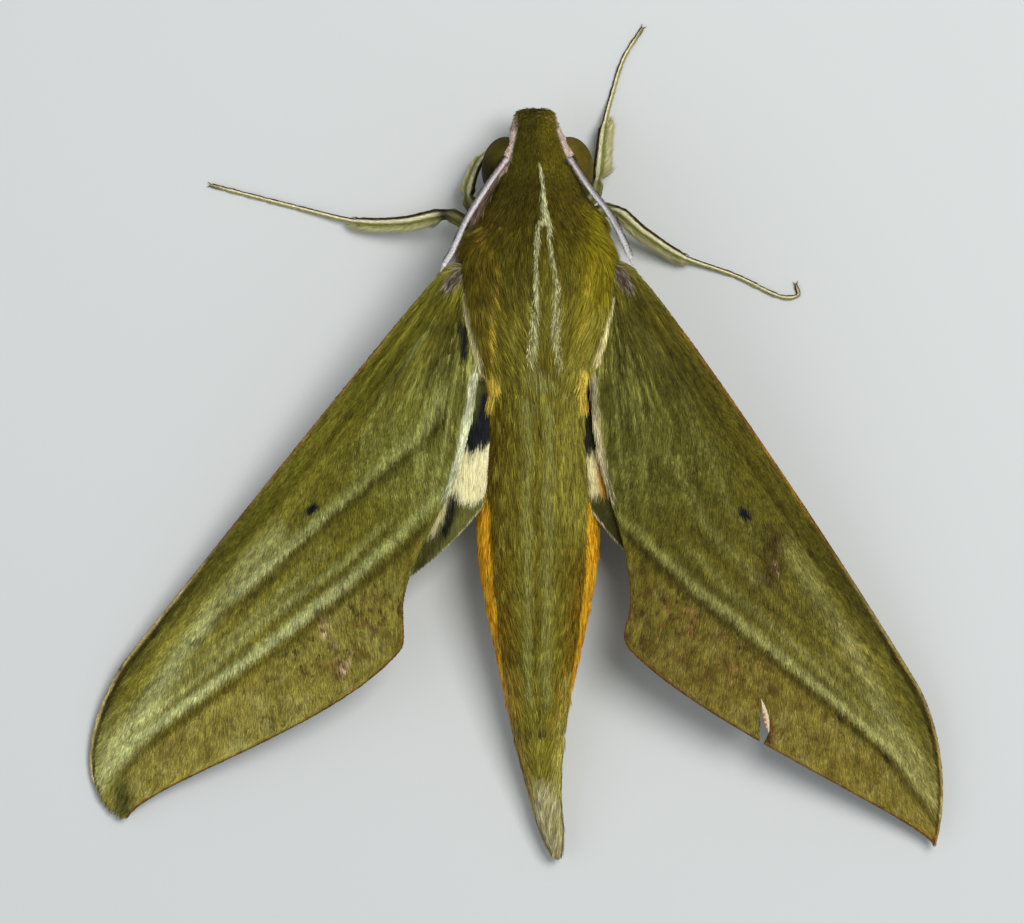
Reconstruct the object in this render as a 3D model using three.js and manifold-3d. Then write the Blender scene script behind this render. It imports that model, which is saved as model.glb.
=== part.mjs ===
// A hawk moth at rest, life size, with its wings swept back over the body.
// Millimetres, +Z up. The head points to +Y and the moth's right side is +X.
// The outlines are those of the coat: hair and scales are counted in every size.
import * as THREE from 'three';
import { mergeVertices } from 'three/addons/utils/BufferGeometryUtils.js';
import Module from 'manifold-3d';

const wasm = await Module();
wasm.setup();

// ---- Driving dimensions ----------------------------------------------------

// Every cut between two neighbours is this wide.
const GAP = 0.2;
const HALF_GAP = GAP / 2;

// Blocks that cut the whole height of the moth are this tall.
const CUTTER_HEIGHT = 12;

// Cross-sections of the body from the palps to the tail, each as its place
// along the body, half its width, and the heights of its back and its belly.
const BODY = [
  { y: 9.15, half: 1.02, back: 4.3, belly: 2.7 },
  { y: 8.7, half: 1.33, back: 4.8, belly: 2.2 },
  { y: 7.6, half: 1.66, back: 5.4, belly: 1.85 },
  { y: 6.2, half: 1.85, back: 6.15, belly: 1.75 },
  { y: 4.5, half: 2.5, back: 6.95, belly: 1.7 },
  { y: 2.5, half: 3.65, back: 7.95, belly: 1.5 },
  { y: 1.1, half: 4.22, back: 8.55, belly: 1.4 },
  { y: -1.0, half: 4.2, back: 9.05, belly: 1.35 },
  { y: -3.5, half: 3.8, back: 9.0, belly: 1.4 },
  { y: -6.0, half: 3.3, back: 8.45, belly: 1.55 },
  { y: -8.5, half: 3.2, back: 8.0, belly: 1.55 },
  { y: -12.5, half: 3.45, back: 7.6, belly: 1.4 },
  { y: -16.5, half: 3.35, back: 6.95, belly: 1.2 },
  { y: -20.2, half: 2.7, back: 6.0, belly: 1.0 },
  { y: -23.0, half: 2.1, back: 5.0, belly: 0.85 },
  { y: -25.8, half: 1.55, back: 3.95, belly: 0.7 },
  { y: -29.0, half: 1.02, back: 2.75, belly: 0.6 },
  { y: -32.0, half: 0.62, back: 1.75, belly: 0.55 },
  { y: -33.4, half: 0.26, back: 1.15, belly: 0.6 },
];
// Behind this place the tail bends to the right, by this much at its tip.
const TAIL_BEND_START = -24.0;
const TAIL_BEND = 1.15;
// A body section is a little squarer than an ellipse.
const SECTION_POWER = 2.15;

// Where the body is parted: the cuts lie at these places along it.
const PALP_CUT = 7.7;
const NECK_CUT = 3.3;
const WAIST_CUT = -6.4;
const ABDOMEN_CUTS = [-9.3, -12.2, -15.2, -18.2, -21.0, -23.6];
const TAIL_CUT = -25.9;

// A compound eye is a flattened ball that is shallow on its inner side.
const EYE = {
  centre: new THREE.Vector3(1.75, 5.75, 4.3),
  half: new THREE.Vector3(1.42, 1.92, 1.75),
  innerDepth: 0.55,
};

// An antenna lies back along the shoulder and thins to a hooked point.
const ANTENNA = {
  left: [[-1.75, 6.3, 6.35], [-2.55, 4.94, 6.75], [-4.0, 2.75, 7.0], [-4.85, 1.0, 7.55], [-5.5, -0.05, 7.95]],
  right: [[1.77, 6.3, 6.35], [2.89, 4.6, 6.75], [3.95, 3.2, 7.0], [4.7, 1.75, 7.5], [5.3, 0.3, 8.0]],
  radii: [0.27, 0.27, 0.27, 0.26, 0.25],
};

// A wing's own frame has its origin at the hinge, "along" from there to the
// wing tip and "across" towards the leading edge. Both wings slope down
// outwards and backwards, and the left one is spread a little wider. Between
// its edges a wing is arched upwards by WING_ARCH.
const WING_THICKNESS = 0.5;
const WING_ARCH = 0.5;
const WING_HINGE = { x: 5.1, y: -0.2, height: 8.4 };
const WINGS = {
  right: { side: 1, sweep: 61.5, fallOutwards: 0.23, riseForwards: 0.07, hindwingTuck: 0.5 },
  left: { side: -1, sweep: 56.9, fallOutwards: 0.24, riseForwards: 0.07, hindwingTuck: 0 },
};
// The forewing's edges, as cubic curves through its landmarks, [along, across].
const FOREWING = {
  right: {
    leading: [
      [[-0.6, 0.2], [5.0, 1.5], [21.0, 3.1], [29.0, 3.45]],
      [[29.0, 3.45], [32.2, 3.35], [35.4, 1.9], [37.3, 0.0]],
    ],
    trailing: [
      [[-0.6, -0.5], [4.6, -5.2], [7.0, -6.5], [10.0, -7.0]],
      [[10.0, -7.0], [12.5, -7.45], [15.4, -8.1], [16.95, -9.45]],
      [[16.95, -9.45], [17.4, -10.1], [18.0, -10.4], [18.7, -10.15]],
      [[18.7, -10.15], [24.6, -8.5], [35.0, -0.5], [37.3, -0.1]],
    ],
  },
  left: {
    leading: [
      [[-0.6, 0.2], [5.0, 1.1], [20.0, 2.6], [29.0, 3.55]],
      [[29.0, 3.55], [33.0, 3.5], [36.2, 2.2], [36.4, -0.2]],
    ],
    trailing: [
      [[-0.6, -0.5], [4.6, -5.2], [7.0, -6.3], [10.0, -6.9]],
      [[10.0, -6.9], [13.0, -7.2], [16.0, -7.4], [17.3, -8.4]],
      [[17.3, -8.4], [18.1, -8.9], [18.7, -9.6], [19.4, -9.45]],
      [[19.4, -9.45], [25.4, -8.6], [34.0, -1.4], [36.4, -1.55]],
    ],
  },
};
// The hindwing lies this far under the forewing and shows only beside the
// abdomen, where its inner corner sticks out. The right one is tucked further in.
const HINDWING_DROP = 0.85;
const HINDWING = {
  leading: [
    [[0.4, -0.9], [6.0, -0.2], [14.0, 0.3], [20.5, -1.2]],
  ],
  trailing: [
    [[0.4, -1.7], [2.4, -3.8], [4.4, -5.4], [6.4, -6.5]],
    [[6.4, -6.5], [8.0, -7.9], [9.2, -8.6], [10.2, -8.45]],
    [[10.2, -8.45], [12.6, -8.3], [15.0, -7.9], [16.4, -6.9]],
    [[16.4, -6.9], [18.0, -5.6], [19.4, -3.6], [20.5, -1.6]],
  ],
};
// A torn notch in the right forewing's outer edge, [along, across].
const NOTCH = [
  [24.8, -5.05], [25.8, -5.08], [26.6, -5.2], [27.0, -5.8],
  [27.5, -6.7], [27.0, -6.9], [26.7, -6.15],
];

// Each leg runs from under the thorax over its knee to the toes, which lie on
// the ground. Its radii are its thickness at each of these places, hair and all.
const GROUND = 0;
const TOE_HEIGHT = 0.19;
const LEGS = {
  leg_fore_right: {
    places: [[1.3, 3.2, 1.7], [3.05, 4.3, 2.3], [3.35, 5.2, 2.2], [3.75, 8.3, 1.0], [4.25, 10.3, TOE_HEIGHT],
      [4.9, 12.3, TOE_HEIGHT], [5.95, 14.0, TOE_HEIGHT]],
    radii: [0.45, 0.5, 0.5, 0.42, 0.28, 0.28, 0.28],
  },
  leg_fore_left: {
    places: [[-1.3, 3.2, 1.7], [-3.3, 3.7, 2.4], [-3.75, 4.4, 2.3], [-3.2, 6.0, 1.1], [-2.0, 7.2, TOE_HEIGHT],
      [-1.0, 7.9, TOE_HEIGHT], [-0.3, 8.3, TOE_HEIGHT]],
    radii: [0.45, 0.5, 0.5, 0.42, 0.28, 0.28, 0.28],
  },
  leg_mid_right: {
    places: [[1.5, 0.6, 1.6], [3.3, 3.3, 3.0], [4.3, 3.5, 3.1], [6.0, 2.3, 2.1], [8.15, 1.0, 0.8],
      [11.26, -0.1, TOE_HEIGHT], [14.1, -1.35, TOE_HEIGHT], [14.85, -1.2, TOE_HEIGHT],
      [14.75, -0.65, TOE_HEIGHT]],
    radii: [0.5, 0.55, 0.5, 0.45, 0.32, 0.28, 0.28, 0.28, 0.28],
  },
  leg_mid_left: {
    places: [[-1.5, 0.6, 1.6], [-4.5, 3.0, 3.1], [-5.2, 3.25, 3.0], [-7.7, 2.9, 1.9], [-10.2, 2.95, 0.8],
      [-14.2, 3.9, TOE_HEIGHT], [-18.65, 5.05, TOE_HEIGHT]],
    radii: [0.5, 0.55, 0.52, 0.5, 0.32, 0.28, 0.28],
  },
  leg_hind_right: {
    places: [[1.5, -3.6, 1.6], [4.2, -4.9, 3.6], [5.0, -5.8, 3.5], [6.3, -9.0, 2.0], [7.6, -12.4, 0.7],
      [8.6, -15.4, TOE_HEIGHT], [9.4, -18.0, TOE_HEIGHT]],
    radii: [0.5, 0.55, 0.55, 0.5, 0.32, 0.28, 0.28],
  },
  leg_hind_left: {
    places: [[-1.5, -3.6, 1.6], [-4.3, -4.9, 3.6], [-5.2, -5.7, 3.5], [-6.9, -8.6, 2.0], [-8.6, -11.8, 0.7],
      [-10.0, -14.6, TOE_HEIGHT], [-11.2, -17.0, TOE_HEIGHT]],
    radii: [0.5, 0.55, 0.55, 0.5, 0.32, 0.28, 0.28],
  },
};

// A tegula is the lappet of long scales over each wing's hinge. From above it
// is an oval round its centre, turned by some degrees. It lies on the back
// alone, above its lowest height.
const TEGULA = { thickness: 0.45, centre: [4.0, -1.9], half: [1.25, 3.9], turn: 12, lowest: 5.0 };

// ---- Materials -------------------------------------------------------------

const coat = new THREE.MeshStandardMaterial({ color: 0x6a6a22, roughness: 0.85, metalness: 0 });
const palpCoat = new THREE.MeshStandardMaterial({ color: 0x55521a, roughness: 0.85, metalness: 0 });
const tailCoat = new THREE.MeshStandardMaterial({ color: 0x8c825a, roughness: 0.9, metalness: 0 });
const forewingScales = new THREE.MeshStandardMaterial({ color: 0x6f7430, roughness: 0.7, metalness: 0 });
const hindwingScales = new THREE.MeshStandardMaterial({ color: 0x3a4018, roughness: 0.75, metalness: 0 });
const eyeShell = new THREE.MeshStandardMaterial({ color: 0x3a3512, roughness: 0.25, metalness: 0 });
const antennaScales = new THREE.MeshStandardMaterial({ color: 0xcfc4c4, roughness: 0.7, metalness: 0 });
const legScales = new THREE.MeshStandardMaterial({ color: 0xa3a860, roughness: 0.75, metalness: 0 });

// ---- From geometry to closed solids ----------------------------------------

// The volume inside a closed indexed mesh; it is negative when the faces point inwards.
function signedVolume(geometry) {
  const corner = [new THREE.Vector3(), new THREE.Vector3(), new THREE.Vector3()];
  let volume = 0;
  for (let first = 0; first < geometry.index.count; first += 3) {
    corner.forEach((point, i) => {
      point.fromBufferAttribute(geometry.attributes.position, geometry.index.getX(first + i));
    });
    volume += corner[0].dot(corner[1].cross(corner[2])) / 6;
  }
  return volume;
}

// A geometry as a solid with its faces pointing outwards.
function solidOf(geometry) {
  const bare = geometry.clone();
  bare.deleteAttribute('normal');
  bare.deleteAttribute('uv');
  const merged = mergeVertices(bare, 1e-4);
  const triangles = Uint32Array.from(merged.index.array);
  if (signedVolume(merged) < 0) {
    for (let first = 0; first < triangles.length; first += 3) {
      [triangles[first], triangles[first + 1]] = [triangles[first + 1], triangles[first]];
    }
  }
  const vertProperties = Float32Array.from(merged.attributes.position.array);
  return new wasm.Manifold(new wasm.Mesh({ numProp: 3, vertProperties, triVerts: triangles }));
}

const moth = new THREE.Group();

// Adds a solid to the moth as a named mesh.
function addPiece(name, solid, material) {
  const { vertProperties, triVerts } = solid.getMesh();
  const geometry = new THREE.BufferGeometry();
  geometry.setAttribute('position', new THREE.BufferAttribute(Float32Array.from(vertProperties), 3));
  geometry.setIndex(new THREE.BufferAttribute(Uint32Array.from(triVerts), 1));
  geometry.computeVertexNormals();
  const mesh = new THREE.Mesh(geometry, material.clone());
  mesh.name = name;
  moth.add(mesh);
}

// Moves each vertex of a geometry to the point that "place" gives for it.
function reshape(geometry, place) {
  const position = geometry.attributes.position;
  const vertex = new THREE.Vector3();
  for (let i = 0; i < position.count; i += 1) {
    vertex.fromBufferAttribute(position, i);
    const moved = place(vertex);
    position.setXYZ(i, moved.x, moved.y, moved.z);
  }
  return geometry;
}

// ---- Body ------------------------------------------------------------------

const bodyStations = BODY.toReversed();
const bodyCurve = new THREE.CubicInterpolant(
  Float32Array.from(bodyStations, (station) => station.y),
  Float32Array.from(bodyStations.flatMap((station) => [station.half, station.back, station.belly])),
  3,
);

// The body's section at a place along it, made larger all round by "grow".
function sectionAt(y, grow) {
  const [half, back, belly] = bodyCurve.evaluate(y);
  const bend = Math.max(0, (TAIL_BEND_START - y) / (TAIL_BEND_START - bodyStations[0].y));
  return {
    centreX: TAIL_BEND * bend * bend,
    centreZ: (back + belly) / 2,
    half: half + grow,
    rise: (back - belly) / 2 + grow,
  };
}

// A length of the body between two places, closed by flat ends.
function bodyLength(front, rear, sides, steps, grow = 0) {
  const unit = new THREE.CylinderGeometry(1, 1, 1, sides, steps);
  reshape(unit, (vertex) => {
    const y = THREE.MathUtils.lerp(rear, front, vertex.y + 0.5);
    const section = sectionAt(y, grow);
    const roundRadius = Math.hypot(vertex.x, vertex.z);
    const powerSum = Math.abs(vertex.x) ** SECTION_POWER + Math.abs(vertex.z) ** SECTION_POWER;
    const squareRadius = powerSum ** (1 / SECTION_POWER);
    const bulge = squareRadius > 0 ? roundRadius / squareRadius : 0;
    return new THREE.Vector3(
      section.centreX + section.half * bulge * vertex.x,
      y,
      section.centreZ + section.rise * bulge * vertex.z,
    );
  });
  return solidOf(unit);
}

const snoutTip = BODY[0].y;
const tailTip = BODY.at(-1).y;

// What lies against the body keeps this grown copy of it clear.
const bodyAndGap = bodyLength(snoutTip, tailTip, 20, 40, GAP);

// ---- Eyes and head ---------------------------------------------------------

function eyeball(side, grow) {
  const unit = new THREE.SphereGeometry(1, 16, 10);
  reshape(unit, (vertex) => {
    const depth = vertex.x > 0 ? EYE.half.x + grow : EYE.innerDepth + grow;
    return new THREE.Vector3(
      side * (EYE.centre.x + vertex.x * depth),
      EYE.centre.y + vertex.y * (EYE.half.y + grow),
      EYE.centre.z + vertex.z * (EYE.half.z + grow),
    );
  });
  return solidOf(unit);
}

const eyes = { left: eyeball(-1, 0), right: eyeball(1, 0) };
const sockets = eyeball(-1, GAP).add(eyeball(1, GAP));
addPiece('eye_left', eyes.left, eyeShell);
addPiece('eye_right', eyes.right, eyeShell);

const head = bodyLength(PALP_CUT - HALF_GAP, NECK_CUT + HALF_GAP, 22, 6).subtract(sockets);
addPiece('head', head, coat);

// The two palps stand side by side and make the blunt snout.
function palpSide(side) {
  const sideBlock = new THREE.BoxGeometry(CUTTER_HEIGHT, CUTTER_HEIGHT, CUTTER_HEIGHT);
  sideBlock.translate(side * (CUTTER_HEIGHT / 2 + HALF_GAP), snoutTip, 0);
  return bodyLength(snoutTip, PALP_CUT + HALF_GAP, 20, 4).intersect(solidOf(sideBlock)).subtract(sockets);
}
addPiece('palp_left', palpSide(-1), palpCoat);
addPiece('palp_right', palpSide(1), palpCoat);

// ---- Thorax and tegulae ----------------------------------------------------

// An upright oval column over a wing's hinge, made larger by "grow".
function tegulaColumn(side, grow) {
  const column = new THREE.CylinderGeometry(1, 1, CUTTER_HEIGHT, 24);
  column.rotateX(Math.PI / 2);
  column.scale(TEGULA.half[0] + grow, TEGULA.half[1] + grow, 1);
  column.rotateZ(THREE.MathUtils.degToRad(side * TEGULA.turn));
  column.translate(side * TEGULA.centre[0], TEGULA.centre[1], TEGULA.lowest + CUTTER_HEIGHT / 2);
  return solidOf(column);
}

const wholeThorax = bodyLength(NECK_CUT - HALF_GAP, WAIST_CUT + HALF_GAP, 28, 9);
const thoraxUnderTegulae = bodyLength(NECK_CUT - HALF_GAP, WAIST_CUT + HALF_GAP, 28, 9, -TEGULA.thickness);
const thoraxUnderGap = bodyLength(NECK_CUT - HALF_GAP, WAIST_CUT + HALF_GAP, 28, 9, -TEGULA.thickness - GAP);
const tegulaBeds = tegulaColumn(-1, GAP).add(tegulaColumn(1, GAP)).subtract(thoraxUnderGap);
const tegulaShell = wholeThorax.subtract(thoraxUnderTegulae);
addPiece('thorax', wholeThorax.subtract(tegulaBeds), coat);
addPiece('tegula_left', tegulaShell.intersect(tegulaColumn(-1, 0)), coat);
addPiece('tegula_right', tegulaShell.intersect(tegulaColumn(1, 0)), coat);

// ---- Abdomen ---------------------------------------------------------------

// One solid for each ring of the abdomen, and the tail brush behind them.
const ringEnds = [WAIST_CUT, ...ABDOMEN_CUTS, TAIL_CUT];
for (let ring = 1; ring < ringEnds.length; ring += 1) {
  const solid = bodyLength(ringEnds[ring - 1] - HALF_GAP, ringEnds[ring] + HALF_GAP, 22, 3);
  addPiece(`abdomen_${ring}`, solid, coat);
}
addPiece('tail_brush', bodyLength(TAIL_CUT - HALF_GAP, tailTip, 16, 7), tailCoat);

// ---- Wings -----------------------------------------------------------------

// The three directions of a wing's own frame, and its origin at the hinge.
function wingFrame(wing) {
  const sweep = THREE.MathUtils.degToRad(wing.sweep);
  const out = Math.cos(sweep);
  const back = Math.sin(sweep);
  const fall = wing.fallOutwards * out + wing.riseForwards * back;
  const along = new THREE.Vector3(wing.side * out, -back, -fall).normalize();
  const up = new THREE.Vector3(wing.side * wing.fallOutwards, -wing.riseForwards, 1).normalize();
  const across = new THREE.Vector3().crossVectors(up, along).multiplyScalar(wing.side);
  const height = WING_HINGE.height - wing.fallOutwards * WING_HINGE.x + wing.riseForwards * WING_HINGE.y;
  const hinge = new THREE.Vector3(wing.side * WING_HINGE.x, WING_HINGE.y, height);
  return { along, across, up, hinge };
}

// The edge's place across the wing at each place along it.
function edgeOf(curves) {
  const path = new THREE.CurvePath();
  for (const [start, leave, arrive, end] of curves) {
    path.add(new THREE.CubicBezierCurve(
      new THREE.Vector2(...start),
      new THREE.Vector2(...leave),
      new THREE.Vector2(...arrive),
      new THREE.Vector2(...end),
    ));
  }
  const points = path.getPoints(40);
  return (along) => {
    let next = points.findIndex((point) => point.x >= along);
    next = next < 0 ? points.length - 1 : Math.max(1, next);
    const span = points[next].x - points[next - 1].x;
    const share = THREE.MathUtils.clamp((along - points[next - 1].x) / Math.max(span, 1e-6), 0, 1);
    return THREE.MathUtils.lerp(points[next - 1].y, points[next].y, share);
  };
}

// A thin wing between its two edges, "drop" below the plane of its frame and
// shifted towards its leading edge by "tuck".
function wingBlade(wing, outline, drop, tuck, steps) {
  const { along, across, up, hinge } = wingFrame(wing);
  const leading = edgeOf(outline.leading);
  const trailing = edgeOf(outline.trailing);
  const start = outline.leading[0][0][0];
  const end = outline.leading.at(-1)[3][0];
  const unit = new THREE.BoxGeometry(1, 1, 1, steps, 4, 1);
  reshape(unit, (vertex) => {
    const outwards = vertex.x + 0.5;
    const forwards = vertex.y + 0.5;
    const place = THREE.MathUtils.lerp(start, end, outwards);
    const breadth = THREE.MathUtils.lerp(trailing(place), leading(place), forwards) + tuck;
    const arch = WING_ARCH * Math.sin(Math.PI * outwards) * Math.sin(Math.PI * forwards);
    return hinge.clone()
      .addScaledVector(along, place)
      .addScaledVector(across, breadth)
      .addScaledVector(up, vertex.z * WING_THICKNESS - drop + arch);
  });
  return solidOf(unit);
}

// The upright block that the torn notch takes out of the right forewing.
function notchBlock() {
  const { along, across, hinge } = wingFrame(WINGS.right);
  const corners = NOTCH.map(([place, breadth]) => {
    const point = hinge.clone().addScaledVector(along, place).addScaledVector(across, breadth);
    return new THREE.Vector2(point.x, point.y);
  });
  const shape = new THREE.Shape(corners);
  return solidOf(new THREE.ExtrudeGeometry(shape, { depth: CUTTER_HEIGHT, bevelEnabled: false }));
}

for (const [sideName, wing] of Object.entries(WINGS)) {
  let forewing = wingBlade(wing, FOREWING[sideName], 0, 0, 32).subtract(bodyAndGap);
  if (sideName === 'right') {
    forewing = forewing.subtract(notchBlock());
  }
  addPiece(`forewing_${sideName}`, forewing, forewingScales);
  const hindwing = wingBlade(wing, HINDWING, HINDWING_DROP, wing.hindwingTuck, 18).subtract(bodyAndGap);
  addPiece(`hindwing_${sideName}`, hindwing, hindwingScales);
}

// ---- Antennae and legs -----------------------------------------------------

// A tapering tube through the given places, with flat ends. What would reach
// under the ground is pressed flat on it, which makes the soles of the feet.
function limb(places, radii, sides, steps) {
  const points = places.map((place) => new THREE.Vector3(...place));
  const route = new THREE.CatmullRomCurve3(points, false, 'centripetal');
  const unit = new THREE.CylinderGeometry(1, 1, 1, sides, steps);
  reshape(unit, (vertex) => {
    const t = vertex.y + 0.5;
    const knot = Math.min(t * (radii.length - 1), radii.length - 1.0001);
    const radius = THREE.MathUtils.lerp(radii[Math.floor(knot)], radii[Math.floor(knot) + 1], knot % 1);
    const tangent = route.getTangent(t);
    const sideways = new THREE.Vector3(tangent.y, -tangent.x, 0).normalize();
    const upwards = new THREE.Vector3().crossVectors(sideways, tangent);
    const point = route.getPoint(t)
      .addScaledVector(sideways, vertex.x * radius)
      .addScaledVector(upwards, vertex.z * radius);
    point.z = Math.max(point.z, GROUND);
    return point;
  });
  return solidOf(unit);
}

for (const side of ['left', 'right']) {
  const antenna = limb(ANTENNA[side], ANTENNA.radii, 8, 12);
  addPiece(`antenna_${side}`, antenna.subtract(bodyAndGap).subtract(sockets), antennaScales);
}
for (const [name, leg] of Object.entries(LEGS)) {
  addPiece(name, limb(leg.places, leg.radii, 8, 18).subtract(bodyAndGap).subtract(sockets), legScales);
}

// ---- The moth stands on the ground, centred over its own middle -------------

const box = new THREE.Box3().setFromObject(moth);
const middle = box.getCenter(new THREE.Vector3());
moth.position.set(-middle.x, -middle.y, -box.min.z);
moth.updateMatrixWorld(true);

export default moth;
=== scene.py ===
import math

import bmesh
import bpy
import numpy as np
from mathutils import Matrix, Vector


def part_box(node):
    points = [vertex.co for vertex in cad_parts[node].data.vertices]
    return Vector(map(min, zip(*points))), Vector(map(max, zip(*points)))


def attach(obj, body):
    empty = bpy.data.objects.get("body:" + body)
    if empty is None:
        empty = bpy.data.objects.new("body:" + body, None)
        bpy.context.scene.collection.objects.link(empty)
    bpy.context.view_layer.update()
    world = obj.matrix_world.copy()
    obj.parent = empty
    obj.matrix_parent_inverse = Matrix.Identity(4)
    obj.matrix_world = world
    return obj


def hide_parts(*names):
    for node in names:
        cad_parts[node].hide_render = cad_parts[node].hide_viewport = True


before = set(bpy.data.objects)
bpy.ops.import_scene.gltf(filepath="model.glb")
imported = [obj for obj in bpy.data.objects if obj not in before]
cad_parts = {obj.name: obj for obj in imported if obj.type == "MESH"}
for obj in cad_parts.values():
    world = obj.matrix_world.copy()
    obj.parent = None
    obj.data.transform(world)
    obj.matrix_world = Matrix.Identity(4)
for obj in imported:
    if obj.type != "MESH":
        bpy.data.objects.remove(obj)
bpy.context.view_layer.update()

# ---- The body's skin ----
# A moth's head, thorax and abdomen are one shell of hard rings, and the fur grows on it. The
# skin is lofted in one closed piece, a coat's depth inside the outline, with the palps' groove,
# eye sockets, shoulders and rings. Sizes are in mm from the ground between the wings' hinges.
MM = 0.001
EYE_AHEAD = 5.75
left_eye_low, left_eye_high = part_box("eye_left")
right_eye_low, right_eye_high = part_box("eye_right")
HOME = np.array([
    (left_eye_low.x + right_eye_high.x) / 2,
    (left_eye_low.y + left_eye_high.y) / 2 - EYE_AHEAD * MM,
    0.0,
])


def to_row(places):
    """Places measured from the body's own origin, in mm, as metres in the frame of the model."""
    return np.asarray(places, float) * MM + HOME


def to_body(places):
    """Places in the frame of the model, in metres, as mm from the body's own origin."""
    return (np.asarray(places, float) - HOME) / MM


def ramp(low, high, value):
    """0 below low and 1 above high, with a smooth rise between."""
    share = np.clip((value - low) / (high - low), 0, 1)
    return share * share * (3 - 2 * share)


def window(low, high, value, edge):
    """1 between low and high, falling to 0 over the edge's width."""
    return ramp(low - edge, low, value) * (1 - ramp(high, high + edge, value))


# y, half the width, height of the back, height of the belly
BODY = [
    (9.26, 0.95, 4.3, 2.7), (8.78, 1.17, 4.8, 2.2), (7.6, 1.52, 5.4, 1.85), (6.2, 1.85, 6.15, 1.75),
    (4.5, 2.5, 6.95, 1.7), (2.5, 3.65, 7.95, 1.5), (1.1, 4.22, 8.55, 1.4), (-1.0, 4.2, 9.05, 1.35),
    (-3.5, 3.8, 9.0, 1.4), (-6.0, 3.3, 8.45, 1.55), (-8.5, 3.2, 8.0, 1.55), (-12.5, 3.45, 7.6, 1.4),
    (-16.5, 3.35, 6.95, 1.2), (-20.2, 2.7, 6.0, 1.0), (-23.0, 2.1, 5.0, 0.85), (-25.8, 1.55, 3.95, 0.7),
    (-29.0, 1.02, 2.75, 0.6), (-32.0, 0.62, 1.75, 0.55), (-33.4, 0.26, 1.15, 0.6),
]
SNOUT = BODY[0][0]
TAIL = BODY[-1][0]
ROUNDNESS = 2.15           # 2 is an ellipse, and more is squarer
SHOULDER_SQUARENESS = 1.5  # added to it where the lappets cover the wings' hinges
TAIL_BEND = 1.15
TAIL_BEND_FROM = -24.0
BODY_RINGS = 250
BODY_SIDES = 180
BACK_SHARE = 0.35          # how much closer together the sides are on the back and the belly
RING_EDGES = (-6.4, -9.3, -12.2, -15.2, -18.2, -21.0, -23.6, -25.9)
SNOUT_ROUNDING = 0.3
TAIL_ROUNDING = 0.5
RING_GROOVE = 0.07
NECK_GROOVE = 0.03
PALP_GROOVE = 0.3          # it parts the two palps under the snout
SOCKET_DEPTH = 0.22
BROW_RIDGE = 0.3
LAPPET_OUT = 0.32
LAPPET_UP = 0.12
SNOUT_ASIDE = 0.18         # the snout points a little to the left
# Each bulge: y, half its length, its push to the right, the sides where it starts and is full, its foot.
BULGES = [
    (4.0, 0.95, -0.42, -0.2, -0.75, -0.5), (1.8, 0.85, -0.4, -0.3, -0.8, -0.5),  # neck, left
    (7.1, 0.75, 0.2, 0.2, 0.7, -0.6), (6.8, 0.75, -0.13, -0.2, -0.7, -0.6),      # brow, right and left
    (2.8, 0.7, 0.34, 0.3, 0.8, -0.5),                                            # neck, right
]
BROW = [(9.2, 1.0), (8.3, 1.02), (7.5, 1.08), (6.3, 1.24), (5.0, 1.16), (3.6, 1.14), (2.6, 1.06), (1.6, 1.0)]


def along_body(y):
    """Half width, back, belly and the bend to one side at each y, smooth through the stations."""
    rows = np.array(BODY[::-1])
    places, values = rows[:, 0], rows[:, 1:]
    slopes = np.gradient(values, places, axis=0)
    y = np.clip(y, places[0], places[-1])
    i = np.clip(np.searchsorted(places, y) - 1, 0, len(places) - 2)
    span = (places[i + 1] - places[i])[:, None]
    t = (y - places[i])[:, None] / span
    rise = values[i + 1] - values[i]
    smooth = values[i] + t * t * (3 - 2 * t) * rise
    lean = (t ** 3 - 2 * t * t + t) * slopes[i] + (t ** 3 - t * t) * slopes[i + 1]
    half, back, belly = (smooth + lean * span).T
    bend = TAIL_BEND * np.clip((TAIL_BEND_FROM - y) / (TAIL_BEND_FROM - TAIL), 0, 1) ** 2
    return half, back, belly, bend


def coat_depth(y):
    """How far the skin lies inside the moth's outline."""
    return 0.12 + 0.06 * window(-6.0, 2.5, y, 1.5)


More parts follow.
